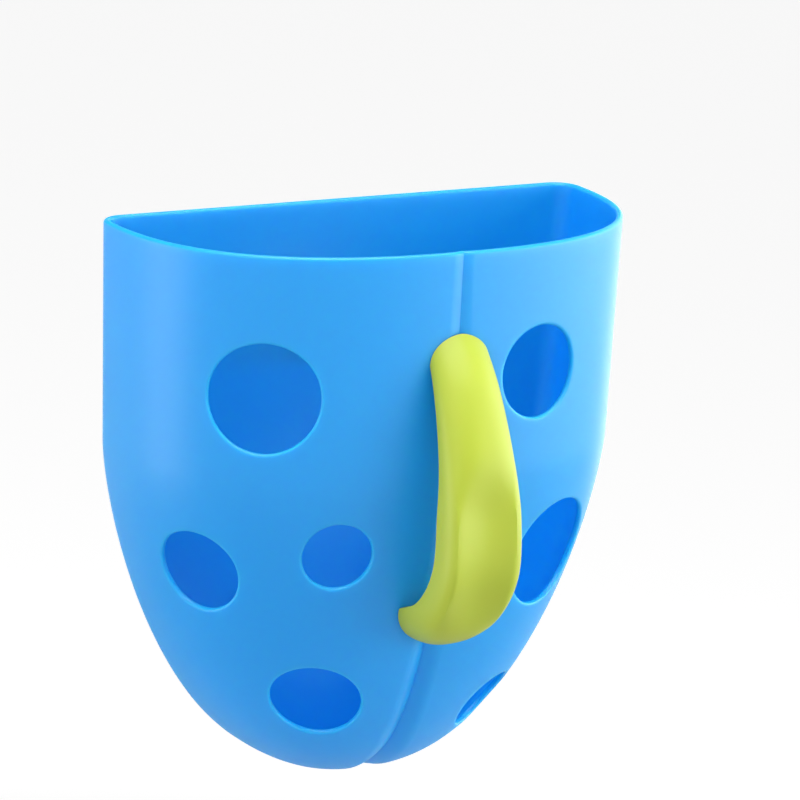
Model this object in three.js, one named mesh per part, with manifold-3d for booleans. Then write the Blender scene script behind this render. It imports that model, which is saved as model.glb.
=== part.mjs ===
import * as THREE from 'three';
import { mergeVertices } from 'three/addons/utils/BufferGeometryUtils.js';
import Module from 'manifold-3d';

// Bath toy organizer: a wall-hung scoop with a grip handle, lifted on and off a bracket
// that two suction cups hold on the tiles.
// Millimetres, +Z up. The front faces -Y. The wall is the plane y = 0, and the origin lies on it,
// midway between the suction cups. The scoop has a frame of its own, with its back on y = 0
// and its lowest point at z = 0.

const wasm = await Module();
wasm.setup();

// Clearances
const seatGap = 0.3;
const overrun = 6;

// Scoop shell
const scoopWidth = 250;
const scoopDepth = 116;
const scoopHeight = 268;
const shellWall = 3;
const sideCurveHeight = 165;
const frontCurveHeight = 165;
const backCornerRadius = 12;
const heelRadius = 8;

// Powers and shares of the shell's curves
const sideEntryShare = 1.5;
const sideTipShare = 2.34;
const frontEntryShare = 1.38;
const frontTipShare = 3.6;
const planSideShare = 2.4;
const planFrontShare = 2.5;
const sideDraftShare = 0.06;
const cornerLimitShare = 0.45;

// Groove down the middle of the front, wider and deeper towards the bottom
const grooveTopDepth = 2.3;
const grooveBottomDepth = 5;
const grooveTopHalfWidth = 3;
const grooveBottomHalfWidth = 7;
const grooveColumnShares = [0.25, 0.5, 0.75, 1, 1.4, 1.9];
const grooveLimitShare = 0.42;

// Grid of the shell's skin
const frontColumnCount = 12;
const cornerColumnCount = 3;
const backColumnCount = 4;
const curvedRowCount = 15;
const curvedRowShare = 2.2;
const straightRowCount = 4;
const rimRowCount = 5;

// Round openings: place across the half width, place up the height, and diameter
const sideHoles = [
  { acrossShare: -0.694, upShare: 0.758, diameter: 50.3 },
  { acrossShare: -0.81, upShare: 0.4375, diameter: 39.9 },
  { acrossShare: -0.415, upShare: 0.4846, diameter: 31.8 },
  { acrossShare: -0.374, upShare: 0.2, diameter: 41.5 },
  { acrossShare: 0.362, upShare: 0.779, diameter: 42.9 },
  { acrossShare: 0.528, upShare: 0.438, diameter: 53.2 },
  { acrossShare: 0.394, upShare: 0.151, diameter: 35 },
];
const holeSegmentCount = 36;

// Drain holes in the bottom of each lobe: place across the half width and into the depth
const drainDiameter = 6;
const drainPlaceShares = [[0.096, 0.19], [0.096, 0.31], [0.168, 0.25]];
const drainSegmentCount = 12;

// Handle: the finger side runs along a path of heights and distances from the shell's front
const handleTopHeight = 228;
const handleSpan = 127;
const fingerGap = 21.8;
const handlePathShares = [
  { downShare: 0, outShare: -0.36 },
  { downShare: 0.172, outShare: 0.236 },
  { downShare: 0.416, outShare: 0.71 },
  { downShare: 0.584, outShare: 0.862 },
  { downShare: 0.785, outShare: 1 },
  { downShare: 0.917, outShare: 0.643 },
  { downShare: 0.979, outShare: 0.039 },
  { downShare: 1, outShare: -0.543 },
];
const handleHalfWidth = 20.6;
const handleHalfWidthShares = [0.69, 0.78, 0.866, 0.927, 0.958, 0.952, 0.937, 0.925];
const handleDepth = 20.7;
const handleDepthShares = [0.4, 0.59, 0.768, 0.922, 1, 0.971, 0.93, 0.867];
const handleSquareShares = [1.75, 1.97, 2.44, 2.85, 2.86, 2.34, 1.93, 1.75];
const handleEdge = 1.5;
const handleWall = 2.6;
const handleRingCount = 28;
const handleArcCount = 18;
const cavityRingCount = 10;

// Thumb dish pressed into the lower front of the handle
const dishDepth = 4;
const dishHalfWidth = 16.5;
const dishPowerShare = 1.3;
const dishRiseShares = [0.34, 0.5];
const dishFallShares = [0.64, 0.78];

// Liner that closes the finger side of the handle
const linerThickness = 2.4;
const linerSpanShares = [0.13, 0.8];
const cavitySpanShares = [0.2, 0.72];

// Screws that hold the handle, driven from inside the scoop
const screwRadius = 2;
const screwHeadRadius = 4.2;
const screwHeadHeight = 2.4;
const screwReach = 6;
const screwTipLength = 1.2;
const screwPadRadius = 7.5;
const screwPadCover = 1;
const upperScrewDrop = 9;
const lowerScrewDrop = 7;
const screwSegmentCount = 20;

// Suction cups, pressed on the wall
const cupRadius = 24;
const cupLipWidth = 4;
const cupLipThickness = 1;
const cupHollow = 2.6;
const cupHeight = 8.7;
const cupShoulderRadius = 9;
const cupNeckRadius = 4.6;
const cupHeadRadius = 7.4;
const cupHeadThickness = 3.4;
const cupSpacing = 104;
const cupSegmentCount = 30;
const cupDomeCount = 5;

// Wall bracket with an upright tongue
const bracketWidth = 142;
const bracketRise = 13;
const bracketDrop = 24;
const bracketThickness = 3;
const bracketCornerRadius = 12;
const keyholeDrop = 11.5;
const tongueWidth = 50;
const tongueThickness = 2.8;
const tongueRise = 8;
const tongueCornerRadius = 6;
const shelfThickness = 5;
const plateCornerSegmentCount = 6;

// Pocket on the back of the scoop, which drops over the tongue
const pocketWall = 2.4;
const pocketRoof = 3;
const pocketPlay = 0.4;
const pocketPlateGap = 0.6;
const pocketShelfGap = 1;
const hangDrop = 53;

// Bumpers low on the back, which keep the scoop upright against the wall
const bumperRadius = 8;
const bumperWall = 2.5;
const bumperSpacing = 90;
const bumperHeight = 76;
const bumperWallGap = 0.5;
const bumperFloor = 3;
const bumperSegmentCount = 24;

// Places worked out from the sizes above
const plateBack = cupHeight + seatGap;
const plateFront = plateBack + bracketThickness;
const pocketBack = plateFront + pocketPlateGap;
const tongueBack = pocketBack + pocketWall + pocketPlay;
const tongueFront = tongueBack + tongueThickness;
const standOff = tongueFront + pocketPlay;
const hangHeight = scoopHeight - hangDrop;
const upperScrewHeight = handleTopHeight - upperScrewDrop;
const lowerScrewHeight = handleTopHeight - handleSpan - lowerScrewDrop;

const blue = new THREE.MeshStandardMaterial({ color: 0x2c9bee, roughness: 0.38, metalness: 0 });
const lime = new THREE.MeshStandardMaterial({ color: 0xbccf3d, roughness: 0.5, metalness: 0 });
const clearSoft = new THREE.MeshStandardMaterial({ color: 0xdfe9ee, roughness: 0.2, metalness: 0 });
const steel = new THREE.MeshStandardMaterial({ color: 0xb8bbbf, roughness: 0.3, metalness: 1 });

// Closed mesh to solid and back
function toSolid(geometry) {
  const bare = geometry.clone();
  bare.deleteAttribute('normal');
  bare.deleteAttribute('uv');
  const merged = mergeVertices(bare);
  return new wasm.Manifold(new wasm.Mesh({
    numProp: 3,
    vertProperties: Float32Array.from(merged.attributes.position.array),
    triVerts: Uint32Array.from(merged.index.array),
  }));
}

function toGeometry(solid) {
  const mesh = solid.getMesh();
  const geometry = new THREE.BufferGeometry();
  geometry.setAttribute('position', new THREE.BufferAttribute(mesh.vertProperties, 3));
  geometry.setIndex(new THREE.BufferAttribute(mesh.triVerts, 1));
  geometry.computeVertexNormals();
  return geometry;
}

function placed(geometry, position, direction) {
  const turn = new THREE.Quaternion().setFromUnitVectors(new THREE.Vector3(0, 1, 0), direction);
  return toSolid(geometry.clone().applyQuaternion(turn).translate(position.x, position.y, position.z));
}

// Outline of a ring seen along its own normal, which the ring turns round by the right-hand rule
function flatOutline(ring) {
  const normal = new THREE.Vector3();
  ring.forEach((point, corner) => {
    normal.add(point.clone().cross(ring[(corner + 1) % ring.length]));
  });
  const turn = new THREE.Quaternion().setFromUnitVectors(normal.normalize(), new THREE.Vector3(0, 0, 1));
  return ring.map((point) => {
    const flat = point.clone().applyQuaternion(turn);
    return new THREE.Vector2(flat.x, flat.y);
  });
}

// Skin through closed rings of points, capped on the first and the last ring
function loft(rings) {
  const size = rings[0].length;
  const positions = rings.flat().flatMap((point) => [point.x, point.y, point.z]);
  const index = [];
  for (let row = 0; row < rings.length - 1; row += 1) {
    for (let column = 0; column < size; column += 1) {
      const next = (column + 1) % size;
      const a = row * size + column;
      const b = row * size + next;
      const c = (row + 1) * size + next;
      const d = (row + 1) * size + column;
      index.push(a, b, c, a, c, d);
    }
  }
  for (const [row, isLast] of [[0, false], [rings.length - 1, true]]) {
    const outline = flatOutline(rings[row]);
    for (const [a, b, c] of THREE.ShapeUtils.triangulateShape(outline, [])) {
      const first = outline[b].clone().sub(outline[a]);
      const isAhead = first.cross(outline[c].clone().sub(outline[a])) > 0;
      const [second, third] = isAhead === isLast ? [b, c] : [c, b];
      index.push(row * size + a, row * size + second, row * size + third);
    }
  }
  const geometry = new THREE.BufferGeometry();
  geometry.setAttribute('position', new THREE.Float32BufferAttribute(positions, 3));
  geometry.setIndex(index);
  geometry.computeVertexNormals();
  return geometry;
}

function mix(values, at) {
  const place = at * (values.length - 1);
  const low = Math.min(Math.floor(place), values.length - 2);
  return THREE.MathUtils.lerp(values[low], values[low + 1], place - low);
}

// Outside of the shell: half width, depth and heel at a height
function halfWidthAt(z) {
  const below = Math.max(0, 1 - z / sideCurveHeight);
  const draft = 1 - sideDraftShare * (1 - z / scoopHeight);
  return (scoopWidth / 2) * (1 - below ** sideEntryShare) ** (1 / sideTipShare) * draft;
}

function depthAt(z) {
  const below = Math.max(0, 1 - z / frontCurveHeight);
  return scoopDepth * (1 - below ** frontEntryShare) ** (1 / frontTipShare);
}

function heelAt(z) {
  const below = Math.max(0, 1 - z / heelRadius);
  return heelRadius * (1 - Math.sqrt(1 - below ** 2));
}

function cornerAt(z) {
  return Math.min(backCornerRadius, cornerLimitShare * Math.min(halfWidthAt(z), depthAt(z)));
}

// Point of the plain front face, without the groove
function frontPoint(x, z) {
  const start = heelAt(z) + cornerAt(z);
  const across = Math.min(1, Math.abs(x) / halfWidthAt(z)) ** (planSideShare / 2);
  const bulge = Math.sqrt(1 - across ** 2) ** (2 / planFrontShare);
  return new THREE.Vector3(x, -start - (depthAt(z) - start) * bulge, z);
}

function grooveHalfWidthAt(z) {
  const size = THREE.MathUtils.lerp(grooveBottomHalfWidth, grooveTopHalfWidth, z / scoopHeight);
  return Math.min(size, grooveLimitShare * halfWidthAt(z));
}

function grooveDepthAt(z) {
  return THREE.MathUtils.lerp(grooveBottomDepth, grooveTopDepth, z / scoopHeight);
}

// Direction into the scoop from the middle of the front
function inwardAtMiddle(z) {
  const step = Math.min(shellWall, z) / 4;
  const slope = (depthAt(z + step) - depthAt(z - step)) / (2 * step);
  return new THREE.Vector3(0, 1, slope).normalize();
}

// Columns of the skin, counted from the middle of the front towards +X and round the back
const columns = [];
columns.push((z) => frontPoint(0, z));
for (const side of [1, -1]) {
  const half = [];
  for (const share of grooveColumnShares) {
    half.push((z) => frontPoint(side * share * grooveHalfWidthAt(z), z));
  }
  for (let step = 1; step <= frontColumnCount; step += 1) {
    half.push((z) => {
      const inner = grooveColumnShares.at(-1) * grooveHalfWidthAt(z);
      const first = Math.acos((inner / halfWidthAt(z)) ** (planSideShare / 2));
      const angle = first * (1 - step / frontColumnCount);
      return frontPoint(side * halfWidthAt(z) * Math.cos(angle) ** (2 / planSideShare), z);
    });
  }
  for (let step = 1; step <= cornerColumnCount; step += 1) {
    half.push((z) => {
      const angle = (Math.PI / 2) * (step / cornerColumnCount);
      const radius = cornerAt(z);
      const x = halfWidthAt(z) - radius + radius * Math.cos(angle);
      return new THREE.Vector3(side * x, radius * Math.sin(angle) - radius - heelAt(z), z);
    });
  }
  if (side === 1) {
    columns.push(...half);
    for (let step = 1; step < backColumnCount; step += 1) {
      const across = 1 - 2 * (step / backColumnCount);
      columns.push((z) => new THREE.Vector3(across * (halfWidthAt(z) - cornerAt(z)), -heelAt(z), z));
    }
  } else {
    columns.push(...half.reverse());
  }
}

// Skin point: the plain outside, set in by a distance, with the groove pressed in
function skinPoint(column, z, inset, grooved) {
  const size = columns.length;
  const point = columns[column](z);
  const step = Math.min(shellWall, z) / 4;
  const along = columns[(column + 1) % size](z).sub(columns[(column + size - 1) % size](z));
  const up = columns[column](z + step).sub(columns[column](z - step));
  const inward = up.cross(along).normalize();
  const isFront = point.y < -heelAt(z) - cornerAt(z);
  const reach = grooveHalfWidthAt(z) + Math.max(0, inset);
  const across = Math.abs(point.x) / reach;
  point.addScaledVector(inward, inset);
  if (grooved && isFront && across < 1) {
    const press = grooveDepthAt(z) * (1 + Math.cos(Math.PI * across)) / 2;
    point.addScaledVector(inwardAtMiddle(z), press);
  }
  return point;
}

function skinRing(z, inset, grooved) {
  return columns.map((_, column) => skinPoint(column, z, inset, grooved));
}

function rowHeights(top) {
  const heights = [];
  for (let row = 1; row <= curvedRowCount; row += 1) {
    heights.push(frontCurveHeight * (row / curvedRowCount) ** curvedRowShare);
  }
  for (let row = 1; row <= straightRowCount; row += 1) {
    heights.push(THREE.MathUtils.lerp(frontCurveHeight, top, row / straightRowCount));
  }
  return heights;
}

// Direction out of the front face at a place on it
function outwardAt(x, z) {
  const step = shellWall / 4;
  const across = frontPoint(x + step, z).sub(frontPoint(x - step, z));
  const up = frontPoint(x, z + step).sub(frontPoint(x, z - step));
  return across.cross(up).normalize();
}

// Where a screw stands: on the inner face of its pad, pointing out of the front
function screwSeat(height) {
  const outward = outwardAt(0, height);
  const below = grooveDepthAt(height) + shellWall + screwPadCover;
  return { outward, point: frontPoint(0, height).addScaledVector(outward, -below), below };
}

const screwSeats = [screwSeat(upperScrewHeight), screwSeat(lowerScrewHeight)];

function scoopShell() {
  const top = scoopHeight - shellWall / 2;
  const heights = rowHeights(top);
  const outside = heights.map((z) => skinRing(z, 0, true));
  const inside = heights.map((z) => skinRing(z, shellWall, true)).reverse();
  const rim = [];
  for (let row = 1; row <= rimRowCount; row += 1) {
    const angle = Math.PI * (row / (rimRowCount + 1));
    rim.push(outside.at(-1).map((outer, column) => {
      const inner = inside[0][column];
      const middle = outer.clone().add(inner).multiplyScalar(1 / 2);
      const spread = outer.clone().sub(inner).multiplyScalar(Math.cos(angle) / 2);
      middle.add(spread);
      middle.z += (shellWall / 2) * Math.sin(angle);
      return middle;
    }));
  }
  let shell = toSolid(loft([...outside, ...rim, ...inside]));

  for (const hole of sideHoles) {
    const x = hole.acrossShare * scoopWidth / 2;
    const z = hole.upShare * scoopHeight;
    const radius = hole.diameter / 2;
    const cutter = new THREE.CylinderGeometry(radius, radius, radius + 2 * overrun, holeSegmentCount);
    shell = shell.subtract(placed(cutter, frontPoint(x, z), outwardAt(x, z)));
  }

  for (const side of [1, -1]) {
    for (const [acrossShare, inShare] of drainPlaceShares) {
      const cutter = new THREE.CylinderGeometry(
        drainDiameter / 2, drainDiameter / 2, 4 * overrun, drainSegmentCount);
      const place = new THREE.Vector3(side * acrossShare * scoopWidth / 2, -inShare * scoopDepth, 0);
      shell = shell.subtract(placed(cutter, place, new THREE.Vector3(0, 0, 1)));
    }
  }

  for (const { outward, point, below } of screwSeats) {
    const length = below - shellWall / 2;
    const pad = new THREE.CylinderGeometry(screwPadRadius, screwPadRadius, length, 2 * screwSegmentCount);
    shell = shell.add(placed(pad, point.clone().addScaledVector(outward, length / 2), outward));
    const bore = new THREE.CylinderGeometry(
      screwRadius + seatGap, screwRadius + seatGap, 2 * (below + overrun), screwSegmentCount);
    shell = shell.subtract(placed(bore, point, outward));
  }

  shell = shell.add(toSolid(hangingPocket()));
  for (const side of [1, -1]) {
    shell = shell.add(bumper(side));
  }
  return toGeometry(shell);
}

// Pocket: a cover, two cheeks and a roof around the tongue, open towards the shell and downwards
function hangingPocket() {
  const halfInside = tongueWidth / 2 + pocketPlay;
  const halfOutside = halfInside + pocketWall;
  const low = hangHeight - bracketDrop + shelfThickness + pocketShelfGap;
  const seat = hangHeight + tongueRise + seatGap;
  const high = seat + pocketRoof;
  const back = standOff - pocketBack;
  const outside = new THREE.BoxGeometry(2 * halfOutside, back + shellWall / 2, high - low);
  outside.translate(0, (back - shellWall / 2) / 2, (high + low) / 2);
  const slot = new THREE.BoxGeometry(2 * halfInside, back - pocketWall, seat - low + overrun);
  slot.translate(0, (back - pocketWall) / 2, (seat + low - overrun) / 2);
  return toGeometry(toSolid(outside).subtract(toSolid(slot)));
}

// Hollow round bumper that stands off the back, open at the wall end
function bumper(side) {
  const length = standOff - bumperWallGap;
  const root = shellWall / 2;
  const post = new THREE.CylinderGeometry(bumperRadius, bumperRadius, length + root, bumperSegmentCount);
  const bore = new THREE.CylinderGeometry(
    bumperRadius - bumperWall, bumperRadius - bumperWall, length, bumperSegmentCount);
  post.translate(side * bumperSpacing / 2, (length - root) / 2, bumperHeight);
  bore.translate(side * bumperSpacing / 2, length / 2 + bumperFloor, bumperHeight);
  return toSolid(post).subtract(toSolid(bore));
}

// Plain outside of the scoop, grown by a gap, which the handle's ends are cut to
function seatBody(gap) {
  return toSolid(loft(rowHeights(scoopHeight).map((z) => skinRing(z, -gap, false))));
}

const handlePath = new THREE.CatmullRomCurve3(handlePathShares.map(({ downShare, outShare }) => {
  const height = handleTopHeight - downShare * handleSpan;
  return new THREE.Vector3(0, -depthAt(height) - outShare * fingerGap, height);
}), false, 'centripetal');

function fade(at, shares) {
  return THREE.MathUtils.smoothstep(at, shares[0], shares[1]);
}

// Frame of the handle at a place on its path, with the sizes of its section there
function handleFrame(at) {
  const centre = handlePath.getPoint(at);
  const tangent = handlePath.getTangent(at);
  return {
    place: (x, rise) => new THREE.Vector3(
      x, centre.y + rise * tangent.z, centre.z - rise * tangent.y),
    halfWidth: handleHalfWidth * mix(handleHalfWidthShares, at),
    depth: handleDepth * mix(handleDepthShares, at),
    square: mix(handleSquareShares, at),
    dish: dishDepth * fade(at, dishRiseShares) * (1 - fade(at, dishFallShares)),
  };
}

// Arched section over a flat finger side, drawn in by an inset, from a floor up to the arch
function archRing(at, inset, floor) {
  const { place, halfWidth, depth, square, dish } = handleFrame(at);
  const edge = floor + handleEdge;
  const ring = [place(halfWidth - inset - handleEdge, floor)];
  for (let step = 0; step <= handleArcCount; step += 1) {
    const angle = Math.PI * (step / handleArcCount);
    const across = Math.sign(Math.cos(angle)) * Math.abs(Math.cos(angle)) ** (2 / square);
    const x = (halfWidth - inset) * across;
    const rise = (depth - inset - edge) * Math.abs(Math.sin(angle)) ** (2 / square);
    const near = Math.max(0, 1 - (x / dishHalfWidth) ** 2);
    ring.push(place(x, edge + rise - dish * near ** dishPowerShare));
  }
  ring.push(place(handleEdge + inset - halfWidth, floor));
  return ring;
}

// Flat section of a strip on the finger side
function stripRing(at, inset, low, high) {
  const { place, halfWidth } = handleFrame(at);
  const reach = halfWidth - inset;
  return [place(reach, low), place(reach, high), place(-reach, high), place(-reach, low)];
}

function sweep(first, last, count, ringAt) {
  const rings = [];
  for (let ring = 0; ring <= count; ring += 1) {
    rings.push(ringAt(THREE.MathUtils.lerp(first, last, ring / count)));
  }
  return toSolid(loft(rings));
}

// Share of the path that a length takes at a place on it
function pathShare(length, at) {
  const step = 1 / handleRingCount;
  const run = handlePath.getPoint(at + step / 2).distanceTo(handlePath.getPoint(at - step / 2));
  return (length / run) * step;
}

// Front of the handle: a hollow arch with solid ends, cut to the shell and bored for the screws
function handleGrip() {
  const [linerTop, linerFoot] = linerSpanShares;
  const recess = linerThickness + seatGap;
  const [cavityTop, cavityFoot] = cavitySpanShares;
  let grip = sweep(0, 1, handleRingCount, (at) => archRing(at, 0, 0));
  grip = grip.subtract(seatBody(seatGap));
  grip = grip.subtract(sweep(
    linerTop, linerFoot, handleRingCount, (at) => stripRing(at, handleWall, -overrun, recess)));
  grip = grip.subtract(sweep(
    cavityTop, cavityFoot, cavityRingCount, (at) => archRing(at, handleWall, linerThickness)));
  for (const { outward, point, below } of screwSeats) {
    const depth = below + screwReach + seatGap;
    const bore = new THREE.CylinderGeometry(
      screwRadius + seatGap, screwRadius + seatGap, depth, screwSegmentCount);
    grip = grip.subtract(placed(bore, point.clone().addScaledVector(outward, depth / 2), outward));
  }
  return toGeometry(grip);
}

// Liner strip, flush with the finger side of the grip
function handleLiner() {
  const [top, foot] = linerSpanShares;
  const first = top + pathShare(seatGap, top);
  const last = foot - pathShare(seatGap, foot);
  return toGeometry(sweep(
    first, last, handleRingCount, (at) => stripRing(at, handleWall + seatGap, 0, linerThickness)));
}

// Closed solid of revolution about +Y, from a profile that starts and ends on the axis
function revolved(points, segmentCount) {
  return new THREE.LatheGeometry(points.map(([radius, y]) => new THREE.Vector2(radius, y)), segmentCount);
}

// Pan-head screw along its seat's direction
function handleScrew({ outward, point, below }) {
  const tip = below + screwReach;
  const profile = [
    [0, -seatGap - screwHeadHeight],
    [screwHeadRadius * 2 / 3, -seatGap - screwHeadHeight],
    [screwHeadRadius, -seatGap - screwHeadHeight / 2],
    [screwHeadRadius, -seatGap],
    [screwRadius, -seatGap],
    [screwRadius, tip - screwTipLength],
    [screwRadius / 3, tip],
    [0, tip],
  ];
  return toGeometry(placed(revolved(profile, screwSegmentCount), point, outward));
}

// Suction cup with a lip, a hollow under it, and a button head that the bracket's keyhole holds
function suctionCup() {
  const headStart = plateFront + seatGap;
  const headEnd = headStart + cupHeadThickness;
  const profile = [
    [0, cupHollow],
    [(cupRadius - cupLipWidth) / 2, cupHollow * 3 / 4],
    [cupRadius - cupLipWidth, 0],
    [cupRadius, 0],
    [cupRadius, cupLipThickness],
  ];
  for (let step = 1; step <= cupDomeCount; step += 1) {
    const angle = (Math.PI / 2) * (step / cupDomeCount);
    profile.push([
      cupRadius - (cupRadius - cupShoulderRadius) * Math.sin(angle),
      cupHeight - (cupHeight - cupLipThickness) * Math.cos(angle),
    ]);
  }
  profile.push(
    [cupNeckRadius, cupHeight],
    [cupNeckRadius, headStart],
    [cupHeadRadius, headStart],
    [cupHeadRadius, (headStart + headEnd) / 2],
    [cupHeadRadius * 3 / 4, headEnd],
    [0, headEnd],
  );
  return revolved(profile, cupSegmentCount).rotateX(Math.PI);
}

// Plate outline with rounded corners, low and high in z, extruded from one depth to another
function upright(halfWidth, low, high, corners, back, front) {
  const [lowRadius, highRadius] = corners;
  const outline = new THREE.Shape();
  outline.moveTo(-halfWidth + lowRadius, low);
  outline.lineTo(halfWidth - lowRadius, low);
  outline.absarc(halfWidth - lowRadius, low + lowRadius, lowRadius, -Math.PI / 2, 0);
  outline.lineTo(halfWidth, high - highRadius);
  outline.absarc(halfWidth - highRadius, high - highRadius, highRadius, 0, Math.PI / 2);
  outline.lineTo(-halfWidth + highRadius, high);
  outline.absarc(-halfWidth + highRadius, high - highRadius, highRadius, Math.PI / 2, Math.PI);
  outline.lineTo(-halfWidth, low + lowRadius);
  outline.absarc(-halfWidth + lowRadius, low + lowRadius, lowRadius, Math.PI, Math.PI * 3 / 2);
  const plate = new THREE.ExtrudeGeometry(outline, {
    depth: front - back, bevelEnabled: false, curveSegments: plateCornerSegmentCount,
  });
  return toSolid(plate.rotateX(Math.PI / 2).translate(0, -back, 0));
}

// Bracket: a plate with two keyholes, and a hook whose tongue points up
function wallBracket() {
  const plateCorners = [bracketCornerRadius, bracketCornerRadius];
  let bracket = upright(
    bracketWidth / 2, -bracketDrop, bracketRise, plateCorners, plateBack, plateFront);
  for (const side of [1, -1]) {
    const x = side * cupSpacing / 2;
    const slotRadius = cupNeckRadius + seatGap;
    const mouthRadius = cupHeadRadius + seatGap;
    const middle = -(plateBack + plateFront) / 2;
    const length = bracketThickness + 2 * overrun;
    const facing = new THREE.Vector3(0, -1, 0);
    const mouth = new THREE.CylinderGeometry(mouthRadius, mouthRadius, length, cupSegmentCount);
    const slotEnd = new THREE.CylinderGeometry(slotRadius, slotRadius, length, cupSegmentCount);
    const slot = new THREE.BoxGeometry(2 * slotRadius, length, keyholeDrop);
    slot.translate(x, middle, -keyholeDrop / 2);
    bracket = bracket.subtract(placed(mouth, new THREE.Vector3(x, middle, -keyholeDrop), facing));
    bracket = bracket.subtract(placed(slotEnd, new THREE.Vector3(x, middle, 0), facing));
    bracket = bracket.subtract(toSolid(slot));
  }
  const shelf = new THREE.BoxGeometry(tongueWidth, tongueFront - plateBack, shelfThickness);
  shelf.translate(0, -(tongueFront + plateBack) / 2, shelfThickness / 2 - bracketDrop);
  bracket = bracket.add(toSolid(shelf));
  bracket = bracket.add(upright(
    tongueWidth / 2, -bracketDrop, tongueRise, [0, tongueCornerRadius], tongueBack, tongueFront));
  return toGeometry(bracket);
}

function named(name, geometry, material) {
  const mesh = new THREE.Mesh(geometry, material);
  mesh.name = name;
  return mesh;
}

const organizer = new THREE.Group();

const scoop = new THREE.Group();
scoop.position.set(0, -standOff, -hangHeight);
scoop.add(named('scoop_shell', scoopShell(), blue));
scoop.add(named('handle_grip', handleGrip(), lime));
scoop.add(named('handle_liner', handleLiner(), lime));
scoop.add(named('handle_screw_upper', handleScrew(screwSeats[0]), steel));
scoop.add(named('handle_screw_lower', handleScrew(screwSeats[1]), steel));
organizer.add(scoop);

organizer.add(named('wall_bracket', wallBracket(), blue));
for (const [name, side] of [['suction_cup_left', -1], ['suction_cup_right', 1]]) {
  const cup = named(name, suctionCup(), clearSoft);
  cup.position.set(side * cupSpacing / 2, 0, 0);
  organizer.add(cup);
}

export default organizer;
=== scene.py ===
"""Bath toy organizer: a lobed blue scoop with a lime handle, hung on a suction-cup bracket.

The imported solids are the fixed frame. Every piece here is a finer mesh of one of them, made from
the same sizes and the same rules, in metres, with its place in its mesh.
"""

import logging
import math
from contextlib import contextmanager
from dataclasses import dataclass, field
from enum import Enum
from typing import Iterable, Iterator, Sequence

import bmesh
import bpy
import numpy as np
from mathutils import Matrix, Vector
from mathutils.geometry import delaunay_2d_cdt


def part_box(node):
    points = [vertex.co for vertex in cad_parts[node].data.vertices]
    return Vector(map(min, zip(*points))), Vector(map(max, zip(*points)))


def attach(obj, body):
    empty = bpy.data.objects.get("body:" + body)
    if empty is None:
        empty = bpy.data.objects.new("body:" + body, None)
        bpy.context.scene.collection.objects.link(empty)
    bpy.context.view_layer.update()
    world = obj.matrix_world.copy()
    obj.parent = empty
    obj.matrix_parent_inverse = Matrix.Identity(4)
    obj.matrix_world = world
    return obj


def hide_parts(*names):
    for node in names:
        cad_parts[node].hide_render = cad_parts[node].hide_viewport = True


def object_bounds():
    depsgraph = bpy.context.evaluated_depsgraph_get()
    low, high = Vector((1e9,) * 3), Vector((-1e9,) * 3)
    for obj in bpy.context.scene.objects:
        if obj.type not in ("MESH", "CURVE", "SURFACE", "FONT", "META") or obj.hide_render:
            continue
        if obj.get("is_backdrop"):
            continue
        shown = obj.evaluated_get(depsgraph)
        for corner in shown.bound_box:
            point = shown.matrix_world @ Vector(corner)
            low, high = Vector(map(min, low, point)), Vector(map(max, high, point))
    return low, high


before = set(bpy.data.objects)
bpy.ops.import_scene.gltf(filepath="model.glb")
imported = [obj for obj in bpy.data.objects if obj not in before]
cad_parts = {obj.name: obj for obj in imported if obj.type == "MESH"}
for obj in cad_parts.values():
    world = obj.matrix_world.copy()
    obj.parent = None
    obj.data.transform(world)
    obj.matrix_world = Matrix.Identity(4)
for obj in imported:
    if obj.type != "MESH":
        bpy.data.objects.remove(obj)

LOG = logging.getLogger("organizer")
MM = 0.001
TURN = 2 * math.pi
QUARTER = math.pi / 2
SHARP_DEGREES = 32
SWEEP_SHARP_DEGREES = 50
SEAM_DISTANCE = 0.002 * MM
DOUBLES_DISTANCE = 0.001 * MM
FILL_INSIDE = 1
FILL_TOLERANCE = 1e-9
UPRIGHT = Matrix(((1, 0, 0, 0), (0, 0, 1, 0), (0, 1, 0, 0), (0, 0, 0, 1)))

Points = np.ndarray
Color = tuple[float, float, float]
Pair = tuple[float, float]
Face = Sequence[int]


class Body(Enum):
    """The two bodies that move apart when the scoop is lifted off."""

    BRACKET = "bracket"
    SCOOP = "scoop"


class Slot(Enum):
    """Material slots."""

    SCOOP_BLUE = "scoop_blue"
    BRACKET_BLUE = "bracket_blue"
    HANDLE_LIME = "handle_lime"
    CUP_CLEAR = "cup_clear"
    SCREW_STEEL = "screw_steel"


class Solver(Enum):
    """What a Boolean node does."""

    JOIN = "UNION"
    CUT = "DIFFERENCE"


# Node trees


class Value:
    """A number inside a node tree that plain sums can be written with."""

    def __init__(self, tree: "Tree", socket: bpy.types.NodeSocket) -> None:
        """Keeps the tree and the socket that the number comes from."""
        self.tree = tree
        self.socket = socket

    def __add__(self, other: "Value | float") -> "Value":
        """Sum of two numbers."""
        return self.tree.math("ADD", self, other)

    def __sub__(self, other: "Value | float") -> "Value":
        """Difference of two numbers."""
        return self.tree.math("SUBTRACT", self, other)

    def __mul__(self, other: "Value | float") -> "Value":
        """Product of two numbers."""
        return self.tree.math("MULTIPLY", self, other)

    def __truediv__(self, other: "Value | float") -> "Value":
        """Quotient of two numbers."""
        return self.tree.math("DIVIDE", self, other)

    def __pow__(self, other: "Value | float") -> "Value":
        """Power of a number."""
        return self.tree.math("POWER", self, other)


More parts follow.
